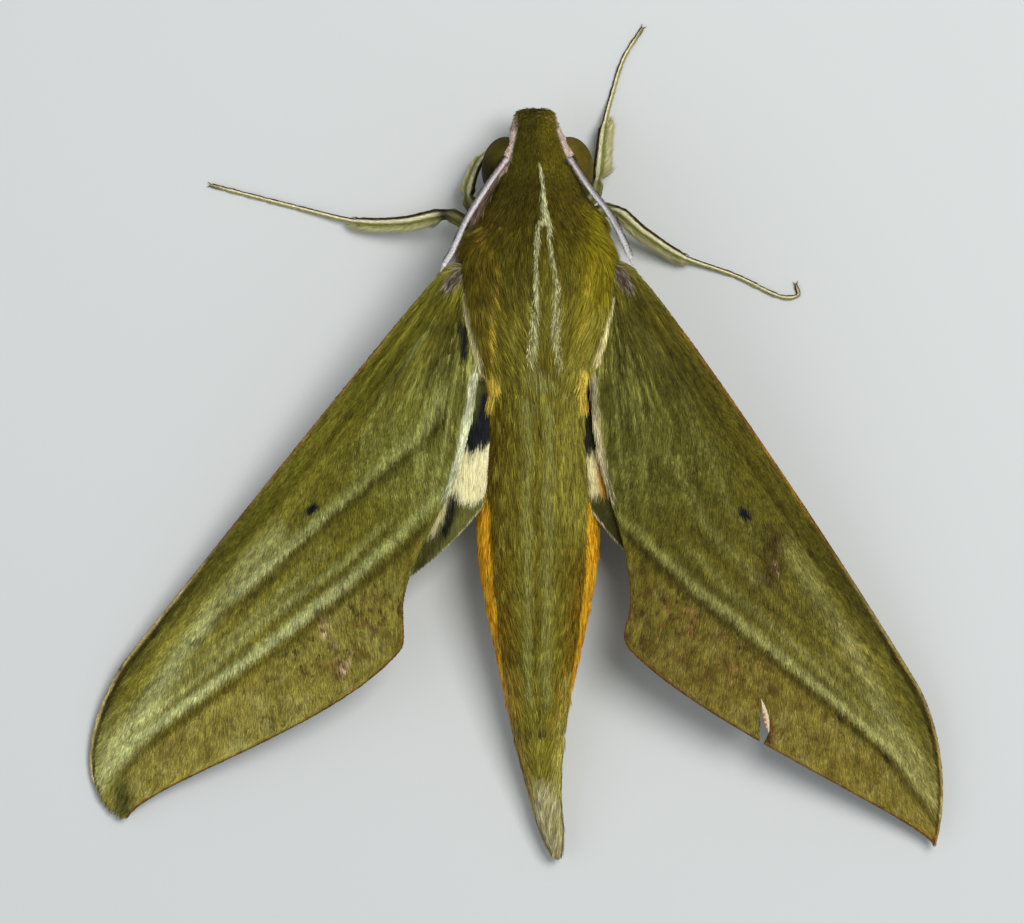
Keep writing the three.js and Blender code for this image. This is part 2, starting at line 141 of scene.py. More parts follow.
def lofted(name, rings):
    """A closed skin through rings of points, with a pole at each end and a map of its own shape."""
    count, sides = rings.shape[:2]
    poles = np.stack([rings[0].mean(0), rings[-1].mean(0)])
    places = np.concatenate([rings.reshape(-1, 3), poles])
    first_pole, last_pole = count * sides, count * sides + 1
    ring, side = np.meshgrid(np.arange(count - 1), np.arange(sides), indexing="ij")
    here, ahead = ring * sides + side, ring * sides + (side + 1) % sides
    walls = np.stack([here, ahead, ahead + sides, here + sides], -1).reshape(-1, 4).tolist()
    around = np.arange(sides)
    turned = (around + 1) % sides
    last = (count - 1) * sides
    walls += [[int(b), int(a), first_pole] for a, b in zip(around, turned)]
    walls += [[int(last + a), int(last + b), last_pole] for a, b in zip(around, turned)]
    mesh = bpy.data.meshes.new(name)
    mesh.from_pydata(places.tolist(), [], walls)
    u_low = side.reshape(-1) / sides
    v_low = (ring.reshape(-1) + 1) / (count + 1)
    u_step, v_step = 1 / sides, 1 / (count + 1)

    def corners(u, v, steps):
        """The map's corners of like faces, each a step away from a face's own place."""
        return np.stack([np.stack([u + du, v + dv], -1) for du, dv in steps], 1).reshape(-1, 2)

    square = corners(u_low, v_low, [(0, 0), (u_step, 0), (u_step, v_step), (0, v_step)])
    cap_u = around / sides
    front = corners(cap_u, 0 * cap_u, [(u_step, v_step), (0, v_step), (u_step / 2, 0)])
    rear = corners(cap_u, 0 * cap_u + 1, [(0, -v_step), (u_step, -v_step), (u_step / 2, 0)])
    layer = mesh.uv_layers.new(name="OFBake")
    flat = 0.004 + 0.992 * np.concatenate([square, front, rear])
    layer.data.foreach_set("uv", flat.astype(np.float32).ravel())
    mesh.shade_smooth()
    mesh.update()
    shell = bmesh.new()
    shell.from_mesh(mesh)
    if shell.calc_volume(signed=True) < 0:
        bmesh.ops.reverse_faces(shell, faces=shell.faces)
        shell.to_mesh(mesh)
    shell.free()
    piece = bpy.data.objects.new(name, mesh)
    bpy.context.scene.collection.objects.link(piece)
    return piece


def body_ring_places():
    """The stations of the skin's rings, closer together at the rounded ends."""
    even = np.linspace(0, 1, BODY_RINGS)
    eased = even - 0.09 * np.sin(2 * math.pi * even) / math.pi
    return SNOUT - 0.06 + (TAIL + 0.1 - SNOUT + 0.06) * eased


def body_rings():
    """The skin's rings, each a rounded square that rises and sinks with the body's relief."""
    y = body_ring_places()
    half, back, belly, bend = along_body(y)
    depth = coat_depth(y)
    snout_close = np.sqrt(np.clip(1 - (np.clip(y - SNOUT + SNOUT_ROUNDING, 0, None) / SNOUT_ROUNDING) ** 2,
                                  0, 1))
    tail_close = np.sqrt(np.clip(1 - (np.clip(TAIL + TAIL_ROUNDING - y, 0, None) / TAIL_ROUNDING) ** 2, 0, 1))
    close = (snout_close * (0.35 + 0.65 * snout_close) * tail_close)[:, None]
    turn = np.linspace(0, 2 * math.pi, BODY_SIDES, endpoint=False)[None, :]
    turn = turn + BACK_SHARE * np.sin(2 * turn) / 2
    out, up = np.cos(turn), np.sin(turn)
    squarer = SHOULDER_SQUARENESS * (window(-5.4, 1.2, y, 1.4) + window(5.2, 9.0, y, 1.6))
    square = ROUNDNESS + squarer[:, None] * ramp(0.0, 0.35, up)
    reach = (np.abs(out) ** square + np.abs(up) ** square) ** (-1 / square)
    wide = (half - depth)[:, None] * close
    tall = ((back - belly) / 2 - depth)[:, None] * close
    x = reach * out
    z = reach * up
    y_grid = np.broadcast_to(y[:, None], x.shape)
    relief = np.zeros_like(x)
    for edge in RING_EDGES:
        relief -= (RING_GROOVE - 0.05 * ramp(-0.3, 0.3, up)) * np.exp(-((y_grid - edge) / 0.16) ** 2)
    relief -= NECK_GROOVE * np.exp(-((y_grid - 4.35) / 0.3) ** 2) * ramp(-0.2, 0.5, up)
    relief -= (
        PALP_GROOVE * np.exp(-(x * half[:, None] / 0.13) ** 2) * ramp(7.6, 8.8, y_grid)
        * (1 - ramp(0.2, 0.7, up))
    )
    relief -= SOCKET_DEPTH * window(4.6, 6.9, y_grid, 0.7) * window(-0.5, 0.3, up, 0.3)
    brow_y, brow_share = np.array(BROW[::-1]).T
    fuller = 1 + (np.interp(y, brow_y, brow_share) - 1)[:, None] * ramp(0.05, 0.5, up)
    x_mm = x * wide * fuller + relief * out * close + bend[:, None]
    z_mm = ((back + belly) / 2)[:, None] + z * tall + relief * up * close
    z_mm += (
        BROW_RIDGE * np.exp(-((np.abs(x_mm) - 1.75) / 0.45) ** 2) * window(6.0, 6.7, y_grid, 0.8)
        * ramp(0.3, 0.6, up)
    )
    lappet = (
        ramp(2.2, 3.4, np.abs(x_mm)) * ramp(2.9, 0.3, y_grid) * ramp(-5.8, -5.2, y_grid)
        * ramp(5.7, 6.9, z_mm)
    )
    x_mm = x_mm + np.sign(x_mm) * LAPPET_OUT * lappet - SNOUT_ASIDE * ramp(6.6, 8.4, y_grid)
    # the neck is fuller beside each antenna, and the brow where the bands cross it
    for middle, length, push, starts, full, foot in BULGES:
        bulge = push * np.exp(-((y_grid - middle) / length) ** 2)
        x_mm = x_mm + bulge * ramp(starts, full, out) * ramp(foot, 0.0, up)
    z_mm = z_mm + LAPPET_UP * lappet * (1 - ramp(3.9, 4.3, np.abs(x_mm)))
    return np.stack([x_mm, y_grid, z_mm], -1)


body_skin = lofted("body_skin", to_row(body_rings()))


# The colours of the coat, which the skin under it carries too.
def paint(red, green, blue):
    """A colour as the eye reads it, from 0 to 255, as light."""
    seen = np.array([red, green, blue]) / 255
    return np.where(seen <= 0.04045, seen / 12.92, ((seen + 0.055) / 1.055) ** 2.4)


def mottle(places, size, seed):
    """Smooth random values from -1 to 1 in blots of the given size."""
    cell = np.asarray(places, float) / size
    corner = np.floor(cell)
    part = cell - corner
    part = part * part * (3 - 2 * part)
    total = np.zeros(len(cell))
    for step in np.ndindex(2, 2, 2):
        spot = corner + step
        mixed = np.sin(spot @ np.array([12.9898, 78.233, 37.719]) + seed * 17.17) * 43758.5453
        weight = np.prod(np.where(step, part, 1 - part), axis=1)
        total += weight * (2 * (mixed - np.floor(mixed)) - 1)
    return total


def off_line(x, y, corners):
    """Each point's distance from a line through the corners."""
    best = np.full(np.shape(x), np.inf)
    for (ax, ay), (bx, by) in zip(corners, corners[1:]):
        share = ((x - ax) * (bx - ax) + (y - ay) * (by - ay)) / ((bx - ax) ** 2 + (by - ay) ** 2)
        share = np.clip(share, 0, 1)
        best = np.minimum(best, np.hypot(x - ax - share * (bx - ax), y - ay - share * (by - ay)))
    return best


def stroke(x, y, corners, width, edge=0.06):
    """1 on a line of the given width, falling to 0 over its soft edge."""
    return 1 - ramp(width / 2 - edge / 2, width / 2 + edge, off_line(x, y, corners))


def over(under, colour, cover):
    """A colour laid over others, as far as cover says."""
    return under + (colour - under) * np.clip(cover, 0, 1)[:, None]


ORANGE = paint(250, 195, 46)
GOLD = paint(255, 224, 96)
DORSAL_PALE = paint(208, 207, 158)
PINK_WHITE = paint(226, 206, 194)
LAPPET_EDGE = paint(250, 238, 182)
TINT_LEAD = 0.22           # a hair shows its colour this far behind its root
HEAD_LINE = [(5.85, 0.04, 0.08), (5.2, 0.17, 0.13), (4.75, 0.2, 0.07), (4.2, 0.24, 0.2), (3.4, 0.3, 0.28),
             (2.8, 0.33, 0.36)]
LINE_BRANCHES = [  # (x, y) along each, and its width
    ([(0.04, 2.75), (-0.12, 1.95), (-0.12, 0.1), (-0.13, -0.9)], 0.09),
    ([(-0.11, -0.6), (-0.18, -1.7), (-0.41, -3.76), (-0.54, -5.0)], 0.16),
    ([(0.5, 2.75), (0.52, 1.8), (0.67, 1.05), (0.97, -0.45)], 0.09),
    ([(0.97, -0.3), (1.08, -1.7), (1.04, -3.56), (1.25, -5.16)], 0.15),
]
LAPPET_LINES = {
    "left": [(-4.55, 1.7), (-4.42, 0.5), (-4.04, -2.0), (-3.83, -3.4), (-3.5, -4.6), (-3.36, -5.7)],
    "right": [(4.4, 1.3), (4.28, 0.6), (4.14, -1.65), (3.78, -3.4), (3.34, -4.9)],
}
ORANGE_INNER = [(-12.4, 2.75), (-13.2, 2.62), (-17.3, 2.52), (-20.2, 2.27), (-23.0, 1.86), (-25.6, 1.52)]


def back_lines(x, y, ragged):
    """1 on the pale line down the back, a wedge on the neck that parts in two on the thorax."""
    line_y, line_x, line_width = np.array(HEAD_LINE[::-1]).T
    off = np.abs(x + ragged - np.interp(y, line_y, line_x)) - np.interp(y, line_y, line_width) / 2
    cover = (1 - ramp(-0.02, 0.04, off)) * window(2.72, 5.85, y + ragged, 0.05)
    for corners, width in LINE_BRANCHES:
        cover = np.maximum(cover, stroke(x + ragged, y, corners, width, 0.04))
    return cover


def lappet_lines(x, y, width):
    """1 on the pale edges of the lappets that cover the wings' hinges."""
    return stroke(x, y, LAPPET_LINES["left"], width, 0.06) + stroke(x, y, LAPPET_LINES["right"], width, 0.06)


def body_tint(places):
    """The coat's colour at places on the body, in mm."""
    places = places - [0, TINT_LEAD, 0]
    x, y, z = places.T
    half, back, belly, bend = along_body(y)
    x = x - bend
    high = (z - (back + belly) / 2) / ((back - belly) / 2)
    wide = np.abs(x) / half
    top = ramp(-0.15, 0.2, high)
    # olive: deepest on the collar, lighter behind the shoulders and on the last rings, then the cream brush
    tint = np.tile(paint(92, 83, 18), (len(x), 1))
    tint = over(tint, paint(78, 68, 13), window(2.6, 4.6, y, 1.0))
    tint = over(tint, paint(114, 105, 31), ramp(2.0, -3.0, y))
    tint = over(tint, paint(131, 122, 42), ramp(-19.0, -27.0, y))
    tint = over(tint, paint(203, 195, 150), ramp(-28.0, -29.4, y))
    streaks = mottle(places * [1, 0.14, 1], 0.11, 3)
    strands = mottle(places * [1, 0.08, 1], 0.06, 4)
    clouds = mottle(places * [1, 0.5, 1], 0.9, 8)
    thorax = window(-5.6, 3.2, y, 1.0)
    # painted light and shade: the thorax is yellower on its right shoulder, the side that faces the light,
    # and browner on its left, and the left side of the head, neck and front of the thorax is darkened as
    # painted shade
    tint = over(tint, paint(146, 132, 18), 0.8 * thorax * ramp(1.6, 3.2, x))
    tint = over(tint, paint(112, 92, 18), 0.5 * thorax * ramp(1.7, 3.4, -x))
    darker = (0.28 + 0.16 * ramp(3.0, 4.8, y)) * ramp(0.5, -0.4, x) * window(-1.0, 8.2, y, 1.2)
    tint = tint * (1 - darker)[:, None]
    # the abdomen's sides are brown, lighter to the tail, but near the waist the right one is lighter green
    # instead, painted light on the side that faces the light
    tint = over(tint, paint(150, 142, 58), 0.6 * window(-14.0, -5.0, y, 1.0) * ramp(0.35, 0.8, x / half))
    browner = np.where(x < 0, ramp(6.8, 8.0, -y), ramp(14.5, 16.5, -y)) * ramp(27.5, 25.0, -y)
    brown = over(np.tile(paint(98, 76, 14), (len(x), 1)), paint(124, 90, 12), ramp(14.0, 16.0, -y))
    brown = over(brown, paint(162, 126, 24), ramp(20.0, 24.0, -y))
    tint = tint + (brown - tint) * (0.8 * browner * ramp(0.36, 0.82, wide))[:, None]
    # painted light down the right flank, the side that faces the light, from the shoulder past the waist
    right_flank_painted_light = stroke(x, y, [(3.5, -2.5), (2.7, -6.0), (1.8, -9.5), (1.8, -13.5)], 1.0, 0.9)
    tint = over(tint, paint(163, 156, 67), 0.5 * right_flank_painted_light)
    # painted light: the snout is lighter on its right, the side that faces the light
    tint = tint * (1 + 0.7 * ramp(-0.4, 0.8, x) * ramp(7.2, 8.4, y))[:, None]
    rim_light = ramp(0.5, 0.85, wide) * window(-29.2, -23.0, y, 1.2)
    tint = over(tint, paint(212, 202, 100), (0.45 + 0.4 * ramp(24.5, 26.0, -y)) * rim_light * (x > 0))
    tint = over(tint, paint(188, 162, 76), (0.45 + 0.4 * ramp(24.5, 26.0, -y)) * rim_light * (x < 0))
    tint = over(tint, paint(160, 154, 62),
                (0.2 + 0.35 * ramp(0.0, 2.0, -y)) * ramp(0.1, 0.7, streaks) * ramp(4.0, 2.0, y))
    tint = over(tint, paint(62, 50, 8), (0.35 + 0.2 * ramp(0.0, 2.0, -y)) * ramp(0.15, 0.8, -streaks))
    tint = tint * (1 + 0.14 * clouds + 0.36 * strands)[:, None]
    # faint pale lines down the abdomen and the ring of darker scales before the brush
    ragged = 0.07 * mottle(places * [1, 0.5, 1], 0.3, 5)
    pale = stroke(x + ragged, y, [(-0.65, -7.5), (-0.62, -24.0)], 0.34, 0.3)
    pale = np.maximum(pale, stroke(x + ragged, y, [(0.55, -7.5), (0.5, -24.0)], 0.34, 0.3))
    tint = over(tint, paint(156, 156, 88), 0.45 * pale * top)
    ring = np.exp(-((y + 25.8 + 0.04 * x * x) / 0.12) ** 2) * (0.5 + 0.5 * ramp(0.5, 0.3, np.abs(x - 0.27)))
    tint = over(tint, paint(50, 46, 36), 0.95 * ring * (wide < 0.9))
    brush = ramp(28.9, 29.8, -y)
    tint = over(tint, paint(120, 106, 64),
                0.6 * brush * ramp(0.0, 0.35, mottle(places * [1, 0.03, 1], 0.13, 23)))
    tint = over(tint, paint(108, 88, 46), 0.7 * ramp(32.4, 33.6, -y))
    # the pale tufts that fan out behind the thorax, and the dark notch they part at
    fan = np.arctan2(x - 0.36, -(y + 4.9))
    fan_rays = ramp(0.05, 0.5, mottle(np.stack([fan * 2.2, 0.3 * y, 0 * y], -1), 0.2, 16))
    tint = over(tint, paint(170, 172, 112),
                0.55 * fan_rays * window(-7.4, -5.6, y, 0.5) * ramp(1.7, 0.9, np.abs(x - 0.3)))
    tint = over(tint, paint(58, 52, 14),
                0.7 * stroke(x, y, [(0.25, -4.85), (0.38, -5.3), (0.52, -4.85)], 0.14, 0.16))
    # the line down the back, which parts in two on the thorax
    ragged = 0.03 * mottle(places, 0.2, 6)
    tint = over(tint, DORSAL_PALE, 0.95 * back_lines(x, y, ragged) * ramp(0.3, 0.5, high))
    # gold lines along the lappets, and the pale edge that outlines them
    ragged = 0.06 * mottle(places * [1, 0.6, 1], 0.25, 9)
    gold_left = [(-3.04, 2.5), (-2.92, 1.8), (-2.55, 1.2), (-2.28, 0.08), (-2.5, -1.0), (-2.82, -3.38),
                 (-2.75, -5.6)]
    gold_right = [(3.37, 1.75), (3.18, 0.9), (2.88, 0.15), (2.92, -1.2), (2.8, -3.2), (2.45, -5.6)]
    gold = stroke(x + ragged, y, gold_left, 0.06, 0.06)
    gold = gold + stroke(x + ragged, y, gold_right, 0.08, 0.07) * (0.4 + 0.6 * ramp(-3.0, -1.5, y))
    broken = ramp(-0.3, 0.3, mottle(places * [1, 0.4, 1], 0.7, 12))
    tint = over(tint, paint(228, 190, 66),
                np.clip(0.8 * gold, 0, 0.8) * (0.35 + 0.65 * broken) * ramp(0.2, 0.4, high))
    tint = over(tint, LAPPET_EDGE, 0.95 * lappet_lines(x + 0.3 * ragged, y, 0.3) * ramp(-0.1, 0.1, high))
    # the pinkish band from the snout over the brow to the antenna, then the tan one to the wing
    off = np.full(len(x), np.inf)
    for band_line in (
        [(9.2, -1.04, 0.1), (8.58, -1.2, 0.16), (7.9, -1.3, 0.28), (7.3, -1.55, 0.6), (6.7, -1.82, 0.74),
         (6.3, -1.95, 0.8),
         (5.8, -1.8, 0.3), (5.6, -1.87, 0.34), (4.55, -2.7, 0.36), (3.6, -3.4, 0.5), (2.7, -4.1, 0.6)],
        [(9.2, 0.76, 0.14), (8.9, 0.84, 0.18), (8.35, 0.99, 0.28), (8.0, 1.12, 0.36), (7.34, 1.42, 0.6),
         (6.5, 1.8, 0.66),
         (6.15, 1.94, 0.6),
         (5.6, 1.97, 0.2), (5.2, 2.26, 0.24), (4.55, 2.62, 0.22), (3.6, 3.3, 0.24), (2.7, 3.8, 0.26)],
    ):
        line_y, line_x, line_width = np.array(band_line[::-1]).T
        beyond = np.abs(x - np.interp(y, line_y, line_x)) - np.interp(y, line_y, line_width) / 2
        off = np.minimum(off, beyond)
    band = (1 - ramp(-0.03, 0.05, off)) * window(2.9, 9.3, y, 0.3)
    browner = 0.3 + 0.7 * ramp(6.2, 5.6, y) * ramp(0.0, -0.5, x)
    blush = over(np.tile(PINK_WHITE, (len(x), 1)), paint(164, 122, 94),
                 browner * ramp(-0.2, 0.6, mottle(places, 0.13, 17)))
    tint = tint + (blush - tint) * (0.92 * band * ramp(-0.1, 0.2, high))[:, None]
    side_left = [(-2.5, 5.0), (-3.3, 3.6), (-3.85, 2.6), (-4.3, 1.6), (-4.6, 0.9)]
    side_right = [(2.5, 4.9), (3.05, 4.1), (4.0, 2.9), (4.35, 1.7), (4.5, 0.75)]
    shoulder = stroke(x, y, side_left, 0.62, 0.16) + 0.7 * stroke(x, y, side_right, 0.24, 0.14)
    tan = over(np.tile(paint(186, 154, 134), (len(x), 1)), paint(104, 72, 50), ramp(-0.2, 0.4, streaks) * 0.9)
    tint = tint + (tan - tint) * np.clip(0.92 * shoulder * ramp(-0.5, -0.2, high), 0, 1)[:, None]
    # gold tufts at the waist and the orange flanks of the abdomen
    waist = stroke(x, y, [(-2.75, -6.0), (-2.7, -7.0)], 0.7, 0.2)
    waist = np.maximum(waist, stroke(x, y, [(2.62, -5.6), (2.5, -7.3)], 0.4, 0.2))
    tint = over(tint, GOLD, 0.95 * waist * ramp(0.2, 0.4, high) * (0.6 + 0.4 * ramp(-0.4, 0.2, streaks)))
    inner = np.interp(-y, [-row[0] for row in ORANGE_INNER], [row[1] for row in ORANGE_INNER])
    inner = inner + 0.05 * mottle(places * [1, 0.5, 1], 0.25, 15)
    flank = ramp(-0.04, 0.08, np.abs(x) - inner) * window(-25.6, -12.6, y, 0.5)
    rust = over(np.tile(ORANGE, (len(x), 1)), paint(204, 138, 34),
                0.8 * ramp(0.0, 0.7, mottle(places * [1, 0.3, 1], 0.12, 24)))
    tint = tint + (rust - tint) * (0.97 * flank * ramp(-0.75, -0.6, high))[:, None]
    # the pale underside
    chest = ramp(0.05, -0.25, high) * ramp(-6.4, -5.4, y)
    tint = over(tint, paint(150, 146, 88), 0.9 * chest)
    tint = over(tint, paint(200, 190, 146), 0.9 * chest * ramp(-0.3, -0.7, high))
    under = ramp(-0.45, -0.65, high) * ramp(5.4, 6.4, -y)
    tint = over(tint, paint(186, 172, 116), 0.9 * under * ramp(30.0, 27.0, -y))
    tint = over(tint, paint(130, 120, 62), 0.6 * under * stroke(x, y, [(0, -6), (0, -26)], 0.5, 0.4))
    # the bristly rim of the palps, lighter than their dark fronts
    rim = ramp(8.1, 8.9, y) * ramp(0.1, 0.6, mottle(places, 0.12, 21))
    tint = over(tint, paint(162, 142, 88), 0.5 * rim)
    return np.clip(tint, 0.002, 1)


def mesh_places(mesh):
    """The places of a mesh's vertices."""
    places = np.zeros(len(mesh.vertices) * 3, np.float32)
    mesh.vertices.foreach_get("co", places)
    return places.reshape(-1, 3).astype(float)


def set_tint(mesh, tint):
    """Stores a colour for each vertex, which the materials read by its name."""
    layer = mesh.color_attributes.new("tint", "FLOAT_COLOR", "POINT")
    rgba = np.concatenate([tint, np.ones((len(tint), 1))], 1)
    layer.data.foreach_set("color", rgba.astype(np.float32).ravel())


def new_material(name, roughness, specular):
    """A material with its shader, and the shader's own sockets set."""
    material = bpy.data.materials.new(name)
    material.use_nodes = True
    shader = material.node_tree.nodes["Principled BSDF"]
    shader.inputs["Roughness"].default_value = roughness
    shader.inputs["Specular IOR Level"].default_value = specular
    return material, material.node_tree, shader


def add_node(tree, kind, **settings):
    """A node of a kind, with its settings and the values of its unlinked sockets."""
    made = tree.nodes.new(kind)
    for key, value in settings.items():
        if hasattr(made, key):
            setattr(made, key, value)
        else:
            made.inputs[key.replace("_", " ")].default_value = value
    return made


def multiplied(tree, first, second):
    """Two colours multiplied."""
    mix = tree.nodes.new("ShaderNodeMix")
    mix.data_type = "RGBA"
    mix.blend_type = "MULTIPLY"
    mix.inputs["Factor"].default_value = 1.0
    tree.links.new(first, mix.inputs["A"])
    tree.links.new(second, mix.inputs["B"])
    return mix.outputs["Result"]


def shade_range(tree, value, dark, light):
    """A value from 0 to 1 as a grey from dark to light."""
    spread = add_node(tree, "ShaderNodeMapRange", To_Min=dark, To_Max=light)
    tree.links.new(value, spread.inputs["Value"])
    return spread.outputs["Result"]


def skin_material(name, grain, roughness, bump):
    """A skin that carries the coat's colours under a fine grain, a little rough all over."""
    material, tree, shader = new_material(name, roughness, specular=0.1)
    tint = add_node(tree, "ShaderNodeAttribute", attribute_name="tint")
    place = tree.nodes.new("ShaderNodeTexCoord")
    noise = add_node(tree, "ShaderNodeTexNoise", Scale=1 / (grain * MM), Detail=3.0, Roughness=0.6)
    tree.links.new(place.outputs["Object"], noise.inputs["Vector"])
    shade = shade_range(tree, noise.outputs["Fac"], 0.55, 1.3)
    tree.links.new(multiplied(tree, tint.outputs["Color"], shade), shader.inputs["Base Color"])
    relief = add_node(tree, "ShaderNodeBump", Strength=bump, Distance=grain * MM)
    tree.links.new(noise.outputs["Fac"], relief.inputs["Height"])
    tree.links.new(relief.outputs["Normal"], shader.inputs["Normal"])
    return material


set_tint(body_skin.data, body_tint(to_body(mesh_places(body_skin.data))))
body_skin.data.materials.append(skin_material("skin under the fur", 0.12, 0.75, 0.5))
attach(body_skin, "root")
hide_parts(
    "head", "palp_left", "palp_right", "thorax", "tegula_left", "tegula_right",
    *[f"abdomen_{ring}" for ring in range(1, 8)], "tail_brush",
)

# ---- The fur of the body ----
# Fine flat hairs and long scales grow from the shell and lie back along it, and on the
# thorax they sweep in to the middle of its hind edge. They are laid over the skin as thin
# pointed blades, each set at its root, longest on the thorax and smallest on the face.
PATCH = 0.003  # each blade's share of the skin's map


def blade_mesh(name, outline):
    """A flat pointed blade one unit long and wide, from rows of (place, half width, height)."""
    places = [(0.0, 0.0, 0.0)]
    for place, half, height in outline:
        places += [(-half, place, height), (half, place, height)]
    places.append((0.0, 1.0, outline[-1][2] * 0.4))
    faces = [(0, 2, 1)]
    for row in range(len(outline) - 1):
        low = 1 + 2 * row
        faces.append((low, low + 1, low + 3, low + 2))
    tip = len(places) - 1
    faces.append((tip - 2, tip - 1, tip))
    mesh = bpy.data.meshes.new(name)
    mesh.from_pydata(places, [], faces)
    reach = mesh.attributes.new("reach", "FLOAT", "POINT")
    reach.data.foreach_set("value", [place[1] for place in places])
    side = mesh.attributes.new("side", "FLOAT", "POINT")
    side.data.foreach_set("value", [place[0] + 0.5 for place in places])
    blade = bpy.data.objects.new(name, mesh)
    bpy.context.scene.collection.objects.link(blade)
    return blade


leaf_blade = blade_mesh("leaf blade", [(0.42, 0.5, 0.07)])
lock_blade = blade_mesh("lock blade", [(0.25, 0.42, 0.05), (0.68, 0.5, 0.06)])


def tree_input(tree, name, kind, default=None):
    """A named input of a node tree."""
    socket = tree.interface.new_socket(name, in_out="INPUT", socket_type=kind)
    if default is not None:
        socket.default_value = default
    return socket


